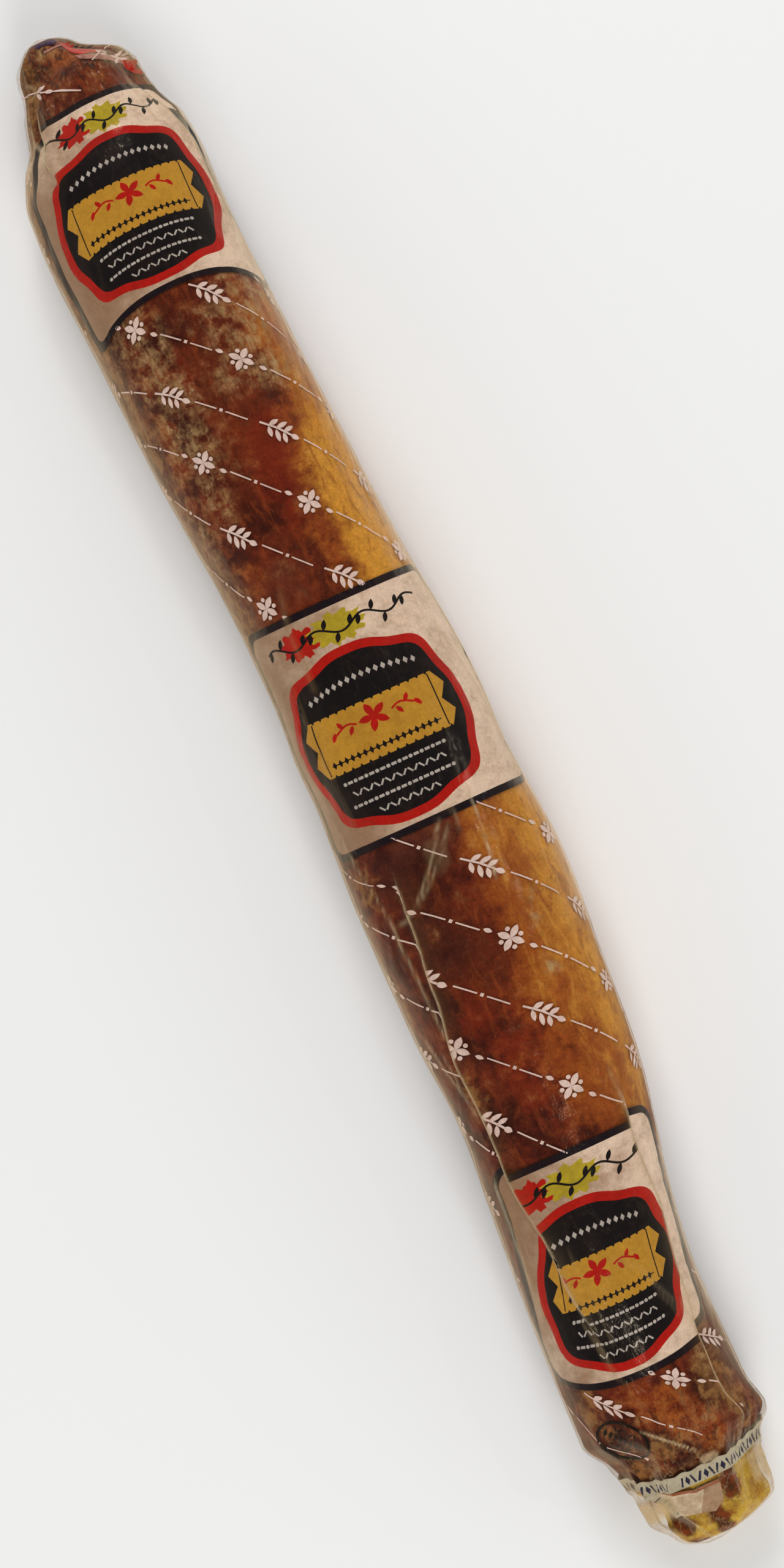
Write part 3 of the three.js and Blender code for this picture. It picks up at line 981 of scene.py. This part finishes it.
def make_loin():
    at = np.concatenate([np.linspace(1.5, 60, 50)[:-1], np.arange(60, 500, 1.9),
                         np.linspace(500, LENGTH - 1.5, 50)])
    angles = np.linspace(0, 2 * np.pi, 221)[:-1] + 0 * at[:, None]
    where = np.broadcast_to(at[:, None], angles.shape)
    relief = muscle_swell(where, angles) * np.clip(section(where)[1] / 20, 0, 1)
    relief = relief + 0.8 * head_gather(where, angles) + 0.6 * tail_gather(where, angles)
    tip = smooth(where, 524, 545)
    left_corner = between(where, 534, 541, 546, 552)
    side = np.cos(angles)
    off_right = 1.6 * np.clip(side, 0, 1) ** 2 * (1 - smooth(where, 543, 550))
    inset = 0.7 + tip * (0.5 + off_right) + 4.5 * left_corner * np.clip(-side, 0, 1) ** 2
    inset = np.minimum(inset, 0.8 * np.minimum(section(where)[1], section(where)[3]))
    rings = skin_point(where, angles, relief, inset, lowest=0.5)
    lumps = cloud(rings, 14, 2) * 0.25 + cloud(rings, 5, 4) * 0.12
    rings = skin_point(where, angles, relief + lumps, inset, lowest=0.5)
    loin = closed_loft("cured_loin", rings, [LOIN])
    paint_loin(loin, where, angles, rings)


# Soft spots of the meat's tones: distance, way round from the top, half length, half width, level
SPOTS = {
    "deep": [(307, -10, 14, 14, 0.7), (336, -13, 18, 9, 0.7), (170, -6, 20, 8, 0.35),
             (345, 2, 14, 9, 0.4), (200, 3, 14, 7, 0.3), (112, 0, 9, 7, 0.5), (25, -8, 5, 14, 0.5),
             (24, -32, 9, 9, 0.8), (360, 96, 70, 18, 0.6), (140, -96, 60, 18, 0.6),
             (514, -21, 6, 7, 1.0), (519, -12, 4, 5, 0.8), (518, -37, 7, 8, 0.8)],
    "brick": [(155, 10, 20, 8, 0.6), (180, 6, 26, 7, 0.6), (388, 0, 26, 14, 0.6),
              (120, -6, 12, 5, 0.6), (330, 14, 26, 7, 0.5), (360, -12, 22, 9, 0.4),
              (502, -2, 8, 12, 0.5), (150, -20, 26, 5, 0.5), (360, -60, 50, 14, 0.5)],
    "orange": [(18, -4, 14, 30, 0.35), (402, 12, 14, 10, 0.7), (385, 4, 14, 10, 0.5),
               (9, 2, 5, 14, 0.9), (136, -14, 26, 7, 0.4), (530, 12, 6, 12, 0.5),
               (355, 6, 16, 7, 0.5), (332, -6, 9, 6, 0.3), (128, 26, 20, 8, 0.6),
               (509, 4, 13, 15, 0.8), (104, -2, 8, 22, 0.4), (150, -26, 44, 6, 0.6),
               (198, 8, 16, 6, 0.8), (158, 14, 16, 5, 0.6), (520, 6, 9, 10, 0.5),
               (200, -20, 20, 6, 0.5), (308, 6, 12, 6, 0.5)],
    "purple": [(14, 0, 12, 20, 0.4), (205, -8, 14, 16, 0.5), (184, 10, 14, 6, 0.5),
               (302, -4, 8, 18, 0.7), (345, 12, 20, 7, 0.4), (140, -60, 60, 20, 0.5)],
    "olive": [(521, -6, 8, 12, 0.6), (510, 28, 20, 9, 0.9), (505, 19, 10, 6, 0.6),
              (500, -26, 14, 8, 0.8), (527, -26, 6, 12, 0.8), (12, -26, 8, 8, 0.4),
              (308, -27, 10, 6, 0.7), (388, -27, 14, 5, 0.7)],
    "bloom": [(124, 12, 16, 9, 0.8), (122, 23, 20, 9, 1.0), (122, -23, 26, 9, 1.0),
              (140, -10, 26, 6, 0.6), (5, -4, 5, 14, 0.8), (130, 18, 14, 6, 0.5),
              (108, 26, 8, 9, 0.8), (110, -14, 10, 7, 0.7), (530, 4, 3, 20, 0.8),
              (144, -15, 14, 6, 0.9), (110, -10, 8, 6, 0.8), (134, 2, 9, 6, 0.5),
              (164, -14, 18, 6, 0.6), (176, -28, 34, 6, 0.6), (18, -14, 12, 8, 0.4),
              (12, 6, 10, 8, 0.25), (512, -8, 8, 6, 0.5), (337, 18, 6, 2.4, 0.9),
              (358, 17, 5, 2.4, 0.8), (398, 14, 6, 2, 0.6), (106, 0, 7, 26, 0.2),
              (498, 22, 10, 5, 0.6), (512, 16, 10, 6, 0.5)],
}
# Dark red places at the tail's end, along lines seen from above: from, to, half width, level
CLOTS = [((547.5, -21.5), (551.5, -16.5), 3.2, 1.4), ((549, -4.5), (558, -2.5), 2.7, 1.0),
         ((538, 5.5), (543, 5), 4.0, 1.0), ((558, -17), (559, -11), 1.2, 1.0),
         ((545, 3), (549, 3), 3.5, 0.35), ((551, -10), (556, 0), 8.0, 0.3)]
MEAT_RADIUS = 31.0


def paint_loin(loin, at, angle, rings):
    """Masks for the meat's tones, by the distance from the head end and the way round."""
    across = ((math.pi / 2 - angle + math.pi) % (2 * math.pi) - math.pi) * MEAT_RADIUS
    wobble = cloud(rings, 22, 11) * 5 + cloud(rings, 8, 12) * 2

    def spots(name):
        total = 0.0
        for middle, side, half_length, half_width, level in SPOTS[name]:
            reach = ((at - middle) / half_length) ** 2 + ((across - side + wobble) / half_width) ** 2
            total = total + level * np.exp(-reach)
        return total

    body = between(at, 90, 122, 398, 440)
    edge = 19 - 7 * smooth(at, 138, 192) - 4 * smooth(at, 215, 300)
    fat = smooth(across + wobble, edge - 10, edge + 9) * (1 - smooth(across, 62, 86)) * body
    fat = fat * (0.72 + 0.28 * smooth(at, 125, 175)) * (1 - 0.15 * smooth(at, 330, 390))
    rich = 0.3 + 0.6 * between(at, 140, 180, 250, 300) - 0.15 * smooth(at, 370, 400)
    rich = rich + (0.1 + 0.3 * smooth(at, 250, 300)) * smooth(across, 14, 36)

    seen_across = plan_across(at, angle)
    clots = 0.0
    for start, end, half_width, level in CLOTS:
        gap = gap_to_line(at, seen_across, start, end)
        clots = clots + level * np.exp(-(gap / half_width) ** 2) * (np.sin(angle) > 0)

    flank_start = 21 + 9 * smooth(at, 215, 300)
    left_flank = between(-across, flank_start, flank_start + 16, 74, 100)
    right_flank = between(across, 40, 48, 74, 100)
    patches = smooth(cloud(rings, 34, 22) + 0.4 * cloud(rings, 12, 23), -0.5, 0.5)
    olive = left_flank * (0.75 - 0.35 * smooth(at, 290, 320) + 0.2 * smooth(at, 480, 500))
    olive = olive * (0.4 + 0.6 * patches) + 0.6 * right_flank * patches + spots("olive")
    mould = 0.45 * (left_flank + right_flank) * smooth(cloud(rings, 24, 21), -0.4, 0.4)
    ends = (1 - smooth(at, 22, 34)) + 0.8 * between(at, 500, 512, 526, 534)

    # Each mask, and its value in the middle of both ends
    masks = {"fat": (fat, 0.0), "rich": (rich, 0.0), "gold": (smooth(at, 531, 537), 0.6),
             "clot": (clots, 0.0), "deep": (spots("deep"), 0.4), "brick": (spots("brick"), 0.0),
             "orange": (spots("orange"), 0.2), "purple": (spots("purple"), 0.8),
             "olive": (olive, 0.0), "bloom": (spots("bloom") + mould, 0.0), "spots": (ends, 0.0)}
    for name, (values, at_ends) in masks.items():
        write_mask(loin, name, np.clip(values, 0, 1), at_ends)


def sprig():
    """A sprig that leans along the slanted rows: a stem with pairs of leaves."""
    shapes = [line_of([(-6.2, 0), (0, 0.4), (6.2, 0)], 0.7), leaf(5.2, 0, 3.4, 2.0, 0)]
    for foot, reach in ((2.6, 3.9), (-0.2, 4.6), (-3.0, 4.0)):
        shapes += [leaf(foot, 0.2, reach, 1.7, 52), leaf(foot, -0.2, reach, 1.7, -52)]
    return [turned(shape, -45) for shape in shapes]


def rosette():
    """Four leaves and four dots round a middle, with a small bud on either side of it."""
    shapes = [leaf(0, 0, 4.6, 2.3, 45 + 90 * i) for i in range(4)]
    shapes += [oval(3.2 * x, 3.2 * y, 0.8, 0.8, 8) for x, y in ((1, 0), (-1, 0), (0, 1), (0, -1))]
    return shapes + [leaf(4.4, -4.4, 3.0, 1.5, -45), leaf(-4.4, 4.4, 3.0, 1.5, 135)]


def flat_object(name, shapes, spacing):
    """A flat mesh of polygons, to be repeated over the film."""
    points, faces = [], []
    for shape in shapes:
        shape = densified(shape, spacing)
        edges = loop_edges(0, len(shape))
        triangles = delaunay_2d_cdt([Vector(p) for p in shape], edges, [], 1, 1e-5)[2]
        faces += [tuple(len(points) + i for i in t) for t in triangles]
        points += [(x * MM, y * MM, 0) for x, y in shape]
    mesh = bpy.data.meshes.new(name)
    mesh.from_pydata(points, [], faces)
    return add_object(name, mesh)


def pattern_tree(values, shapes):
    """Geometry nodes that lay the sprigs, rosettes and dashes over the flat film in slanted rows,
    and leave the labels' places free. The values give the names of its inputs."""
    tree = bpy.data.node_groups.new("white_pattern", "GeometryNodeTree")
    kinds = {int: "NodeSocketInt", float: "NodeSocketFloat",
             bpy.types.Material: "NodeSocketMaterial"}
    tree.interface.new_socket("Geometry", in_out="INPUT", socket_type="NodeSocketGeometry")
    for label, value in values.items():
        tree.interface.new_socket(label, in_out="INPUT", socket_type=kinds[type(value)])
    tree.interface.new_socket("Geometry", in_out="OUTPUT", socket_type="NodeSocketGeometry")
    graph = Graph(tree)
    entry = tree.nodes.new("NodeGroupInput").outputs
    given = {label: Out(graph, entry[label]) for label in values}

    column, row, margin = given["Column Pitch"], given["Row Pitch"], given["Margin"]
    grid = graph.put("GeometryNodeMeshGrid", {
        "Size X": column * (given["Columns"] - 1.0), "Size Y": row * (given["Rows"] - 1.0),
        "Vertices X": given["Columns"], "Vertices Y": given["Rows"]})
    position = graph.put("GeometryNodeInputPosition")
    x, y = (graph.put("ShaderNodeSeparateXYZ", {0: position}, axis) for axis in "XY")

    def free(right=0.0, down=0.0):
        """Whether a point that far from each grid point lies clear of the labels."""
        past = (down - y - (given["Label Start"] - margin)) % given["Label Pitch"]
        sideways = abs(x + right - given["Label Shift"])
        return 1.0 - ((past < given["Label Length"] + margin * 2.0)
                      * (sideways < given["Label Width"] * 0.5 + margin))

    turn = round(x / column + y / row) % 2.0
    places = (free() * turn, free() * (1.0 - turn), free(column * 0.5, row * 0.5))
    joined = tree.nodes.new("GeometryNodeJoinGeometry")
    for shape, selected in zip(shapes, places):
        source = graph.put("GeometryNodeObjectInfo", {"Object": shape}, "Geometry")
        laid = graph.put("GeometryNodeInstanceOnPoints", {"Points": grid, "Instance": source,
                                                          "Selection": selected})
        graph.link(laid, joined.inputs[0])
    real = graph.put("GeometryNodeRealizeInstances", {"Geometry": Out(graph, joined.outputs[0])})
    inked = graph.put("GeometryNodeSetMaterial", {"Geometry": real, "Material": given["Ink"]})
    graph.link(inked, tree.nodes.new("NodeGroupOutput").inputs[0])
    return tree


def make_white_pattern(film_map):
    """The white pattern, repeated flat by geometry nodes and then laid on the film."""
    columns, rows = 7, 23
    pitch, row_pitch, aside = FILM_GIRTH / columns, 26.8, 7.0
    middle = (rows - 1) / 2 * row_pitch - 5
    dash = [bar(pitch / 2 - 3.9, -row_pitch / 2 + 3.9, 7.8, 0.5, -45),
            lozenge(pitch / 2, -row_pitch / 2, 1.6, 1.6),
            bar(pitch / 2 + 3.9, -row_pitch / 2 - 3.9, 7.8, 0.5, -45)]
    shapes = [flat_object("sprig", sprig(), 1.6), flat_object("rosette", rosette(), 1.6),
              flat_object("dash", dash, 1.3)]
    values = {"Columns": columns, "Rows": rows, "Column Pitch": pitch * MM,
              "Row Pitch": row_pitch * MM,
              "Label Pitch": (LABEL_STARTS[1] - LABEL_STARTS[0]) * MM,
              "Label Start": (LABEL_STARTS[0] - middle) * MM, "Label Length": LABEL_LENGTH * MM,
              "Label Width": LABEL_WIDTH * MM, "Label Shift": (LABEL_SHIFT - aside) * MM,
              "Margin": 5.0 * MM, "Ink": INKS["white_print"]}
    tree = pattern_tree(values, shapes)
    carrier = add_object("pattern_carrier", bpy.data.meshes.new("pattern_carrier"))
    lay = carrier.modifiers.new("lay_pattern", "NODES")
    lay.node_group = tree
    for item in tree.interface.items_tree:
        if item.in_out == "INPUT" and item.name in values:
            lay[item.identifier] = values[item.name]
    evaluated = carrier.evaluated_get(bpy.context.evaluated_depsgraph_get())
    flat_mesh = bpy.data.meshes.new_from_object(evaluated)
    for piece in [carrier, *shapes]:
        bpy.data.objects.remove(piece)
    flat = np.zeros(len(flat_mesh.vertices) * 3)
    flat_mesh.vertices.foreach_get("co", flat)
    flat = flat.reshape(-1, 3)[:, :2] / MM
    along = middle - flat[:, 1]
    keep = (along > PATTERN_START) & (along < PATTERN_END)
    faces = [tuple(p.vertices) for p in flat_mesh.polygons]
    faces = [face for face in faces if keep[list(face)].all()]
    used, numbered = np.unique(np.array(faces), return_inverse=True)
    at, angle = film_map.place(along[used], flat[used, 0] + aside)
    piece = new_mesh("white_pattern", film_point(at, angle, PRINT_UNDER_FILM),
                     numbered.reshape(-1, 3), [INKS["white_print"]])


def label_layers():
    """The label's flat design round its middle, from the bottom layer up."""
    cream, edge, dark, red, ochre, yellow, pale = range(7)
    axis = -6.4
    panel = [(rounded_box(0, 0, LABEL_WIDTH, LABEL_LENGTH, 6.5), edge),
             (rounded_box(0.5, 0, LABEL_WIDTH - 5.6, LABEL_LENGTH - 5.0, 4.5), cream)]
    layers = [(jagged(-19, 31.3, 7.0, 5.0, 9, 0.4), red),
              (jagged(-5.5, 31.5, 9.4, 5.2, 11, 1.9), yellow)]
    vine = [(x, 31.4 + 1.7 * math.sin(x / 2.7)) for x in np.arange(-33, 25, 1.2)]
    layers.append((line_of(vine, 0.75), dark))
    for i, x in enumerate(np.arange(-31, 24, 4.24)):
        layers.append((leaf(x, 31.4 + 1.7 * math.sin(x / 2.7), 3.9, 1.7, 62 if i % 2 else -118), dark))

    def medallion(inward):
        def point(a):
            c, s = math.cos(a), math.sin(a)
            scallop = 1 + 0.03 * math.cos(8 * a)
            return (axis + (30 - inward) * scallop * bent(c, 0.72),
                    -6.1 + (30.4 - inward) * scallop * bent(s, 0.72))
        return ring_of(point, 120)

    layers += [(medallion(0), red), (medallion(3.0), dark)]
    layers += [(shape, pale) for shape in marks_row("lozenge", 11.6, -24.5, 12.5, 2.45, 2.5, 2.6)]
    plaque = [(-28.5, 5.6), (15.5, 5.6), (18.6, 0.4), (15.5, -4.4), (18.6, -9.2), (15.5, -14.2),
              (-28.5, -14.2), (-31.6, -9.2), (-28.5, -4.4), (-31.6, 0.4)]
    layers.append((np.array(plaque, float)[::-1], ochre))
    for x in np.arange(-26.5, 14.5, 3.1):
        layers += [(lozenge(x, 5.7, 1.3, 1.8), dark), (lozenge(x + 1, -14.3, 1.3, 2.0), dark)]
    layers += [(bar(x, -4.3, 0.45, 18.6), dark) for x in (-27.2, 14.2)]
    layers += [(leaf(axis, -0.6, 5.3, 2.5, 36 + 72 * i), red) for i in range(5)]
    for side, slant in ((-1, 120), (1, 60)):
        stem = [(axis + side * (6 + t), -0.8 + 1.1 * math.sin(t / 1.9)) for t in np.arange(0, 8.5, 0.9)]
        layers.append((line_of(stem, 0.7), red))
        layers += [(leaf(axis + side * (7.4 + 3.1 * i), -0.6, 3.4, 1.5, slant if i % 2 else -slant), red)
                   for i in range(3)]
    layers += [(shape, dark) for shape in marks_row("lozenge", -10.6, -24.5, 12.5, 2.2, 2.7)]
    layers.append((bar(axis, -10.6, 38, 0.4), dark))
    for kind, y, first, last in (("dash_dot", -17.8, -24, 12), ("zigzag", -21.9, -22, 10),
                                 ("dash_dot", -26.1, -24, 12), ("zigzag", -30.2, -16, 4)):
        layers += [(shape, pale) for shape in marks_row(kind, y, first, last, 1.9, 1.9)]
    return panel + [(shape + (DESIGN_SHIFT, 0), ink) for shape, ink in layers]


def make_labels(film_map):
    inks = ["label_cream", "label_edge", "medallion_dark", "label_red", "label_ochre",
            "label_yellow", "label_marks"]
    for name, start in zip(("label_head", "label_middle", "label_tail"), LABEL_STARTS):
        middle = start + LABEL_LENGTH / 2

        def place(flat):
            return film_map.place(middle - flat[:, 1], flat[:, 0] + LABEL_SHIFT)

        print_sheet(name, label_layers(), 1.15, place, inks)


def on_plan(flat):
    """(at, angle) of points given as (right, -distance from the head end), seen from above."""
    at = -flat[:, 1]
    return at, plan_angle(at, flat[:, 0])


def on_section(flat):
    """(at, angle) of points given as (arc right of the top, -distance from the head end)."""
    return -flat[:, 1], math.pi / 2 - flat[:, 0] / FOLD_RADIUS


def plan(*points):
    """A polygon on the upper side from points (distance from the head end, across)."""
    polygon = np.array([(across, -at) for at, across in points], float)
    area = np.cross(polygon, np.roll(polygon, -1, 0)).sum()
    return polygon if area > 0 else polygon[::-1]


def make_stamp():
    middle = np.array([-23.0, -514.2])
    ring = [(oval(0, 0, 9.8, 6.6, 44), 0), (oval(0, 0, 8.9, 5.7, 44), -1)]
    for kind, y, first, last, height in (("zigzag", 3.1, -4.5, 4.5, 1.8), ("lozenge", 0, -7, 7, 3.2),
                                         ("zigzag", -3.2, -3.5, 3.5, 1.8)):
        ring += [(shape, 0) for shape in marks_row(kind, y, first, last, 1.9, height)]
    layers = [(turned(shape, -47) + middle, slot) for shape, slot in ring]
    print_sheet("oval_stamp", layers, 1.2, on_plan, ["stamp_ink"])


def make_tail_strip():
    """The pale printed strip across the tail, and the narrow folded strip that leaves it."""
    half = TAIL_BAND_WIDTH / 2 - 1.1

    def middle_at(x):
        return -tail_band_middle(math.pi / 2 - x / FOLD_RADIUS) - 0.3

    centre = np.array([(x, middle_at(x)) for x in np.arange(-52, 50, 1.2)])
    upper, lower = centre + (0, half), centre - (0, half)
    upper[:, 1] += 0.35 * np.sin(upper[:, 0] * 0.9)
    layers = [(np.concatenate([lower, upper[::-1]]), 0)]
    for i, x in enumerate(np.arange(-49, 47, 2.35)):
        if -13 < x < -9:
            continue
        y = middle_at(x) - 0.5
        layers.append((lozenge(x, y, 2.1, 3.4) if i % 3 == 1 else
                       bar(x, y, 3.4, 0.8, (68, 0, 112)[i % 3]), 1))
    inks = ["tail_strip_print", "tail_strip_marks"]
    print_sheet("tail_strip", layers, 1.0, on_section, inks)

    layers = [(plan((535.5, -23.5), (536.5, -19.5), (546.5, -15.6), (547, -18.6)), 0)]
    layers += [(bar(-21.3 + 1.25 * i, -538.4 - 1.7 * i, 2.2, 0.45, 20), 1) for i in range(5)]
    layers.append((plan((536.4, -20.4), (539.6, -11.5), (540.6, 1.4), (547.4, 0.0), (550, -4),
                        (546.4, -16.0)), 2))
    layers.append((plan((540.8, -4.5), (540.6, 1.4), (547.4, 0.0), (550, -4), (548.6, -9)), 4))
    layers.append((plan((536.2, -20.6), (538.2, -12), (539.8, -8), (539.6, 1), (540.8, 1.4),
                        (541.0, -8), (539.4, -12.4)), 3))
    print_sheet("tail_folded_print", layers, 1.0, on_plan,
                [*inks, "tail_pale_print", "tail_brown_fold", "tail_pale_print_shade"])


def make_head_prints():
    """Crumpled ends of the next label that show at the head's tip."""
    layers = [(plan((11.5, 1), (13.2, 5.5), (15.2, 10), (16.6, 14), (19.4, 18.2), (21.5, 17.5),
                    (19.0, 12.5), (16.0, 6.5), (13.4, 2)), 3),
              (plan((4.2, -2.4), (5.6, 2.4), (9.3, 8.0), (14.4, 13.4), (14.2, 11), (13.2, 6.9),
                    (12.0, 2.6), (9.6, 0)), 0),
              (plan((6.4, 2.6), (7.6, 5.4), (10.8, 9.8), (14.4, 13.4), (14.4, 12.4), (11.6, 8.2),
                    (9.0, 4.4)), 1),
              (plan((18.4, 14.6), (20.2, 17.2), (27.2, 20.4), (26.6, 18.6), (22.2, 15.8)), 0),
              (plan((1.6, -10.4), (2.2, -4.4), (3.4, -2.2), (4.6, -4.4), (3.4, -7.0), (3.6, -10.2)), 2),
              (plan((5.4, -8.4), (5.2, -1.5), (5.8, -1.5), (6.2, -8.2)), 3),
              (plan((18.8, -14.2), (19.0, -13.4), (20.6, -8), (23.9, -1.8), (24.2, -2.2),
                    (21.4, -8.2)), 4)]
    layers += [(turned(shape, 25) * 0.72 + (-17, -17.6), 4) for shape in sprig()[:6]]
    layers += [(turned(shape, 70) * 0.6 + (8.5, -14.2), 4) for shape in sprig()[:6]]
    layers += [(turned(shape, 10) * 0.6 + (14.2, -17.6), 4) for shape in rosette()[:5]]
    print_sheet("head_crumpled_print", layers, 0.9, on_plan,
                ["tip_orange_red", "label_edge", "tip_purple", "tip_pink", "white_print"])
    border = plan((39.6, 21.8), (42.6, 23.2), (46.6, 24.5), (51, 25.2), (58, 25.1), (66, 25.0),
                  (72, 25.4), (84, 25.9), (80, 26.5), (70, 26.8), (60, 27.0), (52, 27.2),
                  (46.4, 26.2), (42.0, 24.6))
    at, angle = on_plan(border)
    border = np.stack([(math.pi / 2 - angle) * FOLD_RADIUS, -at], 1)
    print_sheet("label_folded_border", [(border, 0)], 0.8, on_section, ["label_edge"], 0.03)


# --- camera, light and floor

def make_stage():
    scene = bpy.context.scene
    scene.view_settings.view_transform = "Standard"
    camera = add_object("camera", bpy.data.cameras.new("camera"))
    scene.camera = camera
    distance, picture_height, film_size = 2.0, 0.53163, 36
    aim_x, aim_y, aim_z, slant = -2.67, -0.2, 28.0, -24.3
    camera.data.lens = film_size * distance / picture_height
    camera.data.clip_end = 20
    camera.location = ((aim_x + SHIFT_X) * MM, aim_y * MM, distance + aim_z * MM)
    camera.rotation_euler = (0, 0, math.radians(slant))

    floor_mesh = bpy.data.meshes.new("floor")
    floor_mesh.from_pydata([(-4, -4, 0), (4, -4, 0), (4, 4, 0), (-4, 4, 0)], [], [(0, 1, 2, 3)])
    floor = add_object("floor", floor_mesh)
    floor.location.z = -0.3 * MM
    floor_mesh.materials.append(
        new_material("pale_floor", Base_Color=(0.96, 0.96, 0.95, 1), Roughness=0.8)[0])

    lights = (("soft_head_light", (0.2, 1.5, 1.5), 1.0, 17, False),
              ("soft_tail_light", (-0.2, -1.5, 1.5), 1.0, 17, False),
              ("head_glint", (0.35, 1.35, 1.3), 0.12, 1.5, True),
              ("tail_glint", (-0.05, -0.7, 1.8), 0.07, 0.9, True),
              ("side_glint", (1.05, -0.045, 1.27), 0.05, 0.5, True))
    for name, place, size, power, glossy in lights:
        light = add_object(name, bpy.data.lights.new(name, "AREA"))
        light.data.size, light.data.energy = size, power
        light.location = place
        light.rotation_euler = (-Vector(place)).to_track_quat("-Z", "Y").to_euler()
        light.visible_glossy = glossy

    world = bpy.data.worlds.new("soft_room")
    world.use_nodes = True
    scene.world = world
    graph = Graph(world.node_tree)
    direction = graph.put("ShaderNodeTexCoord", {}, "Generated")
    up = graph.put("ShaderNodeSeparateXYZ", {0: direction}, "Z")
    glossy = graph.put("ShaderNodeLightPath", {}, "Is Glossy Ray")
    background = graph.tree.nodes["Background"].inputs
    background["Color"].default_value = (1, 1, 1, 1)
    graph.link(graph.ramp(up, 0.3, 0.75, 0.95, 0.14) * (glossy * -0.75 + 1.0), background["Strength"])


def centre_shift():
    """How far the pack's outline is moved along X to lie in the middle of the solid's box."""
    at = np.linspace(0, LENGTH, 561)[:, None]
    angle = np.radians(np.arange(0, 360, 2.0))[None]
    where, round_it = np.broadcast_arrays(at, angle)
    x = skin_point(where, round_it, film_relief(where, round_it, fine=False))[..., 0]
    return (cad_low.x + cad_high.x) / 2 / MM - (x.min() + x.max()) / 2


SHIFT_X = centre_shift()
film_map = WrappedFilm()
make_film()
make_loin()
make_white_pattern(film_map)
make_labels(film_map)
make_stamp()
make_tail_strip()
make_head_prints()
make_stage()
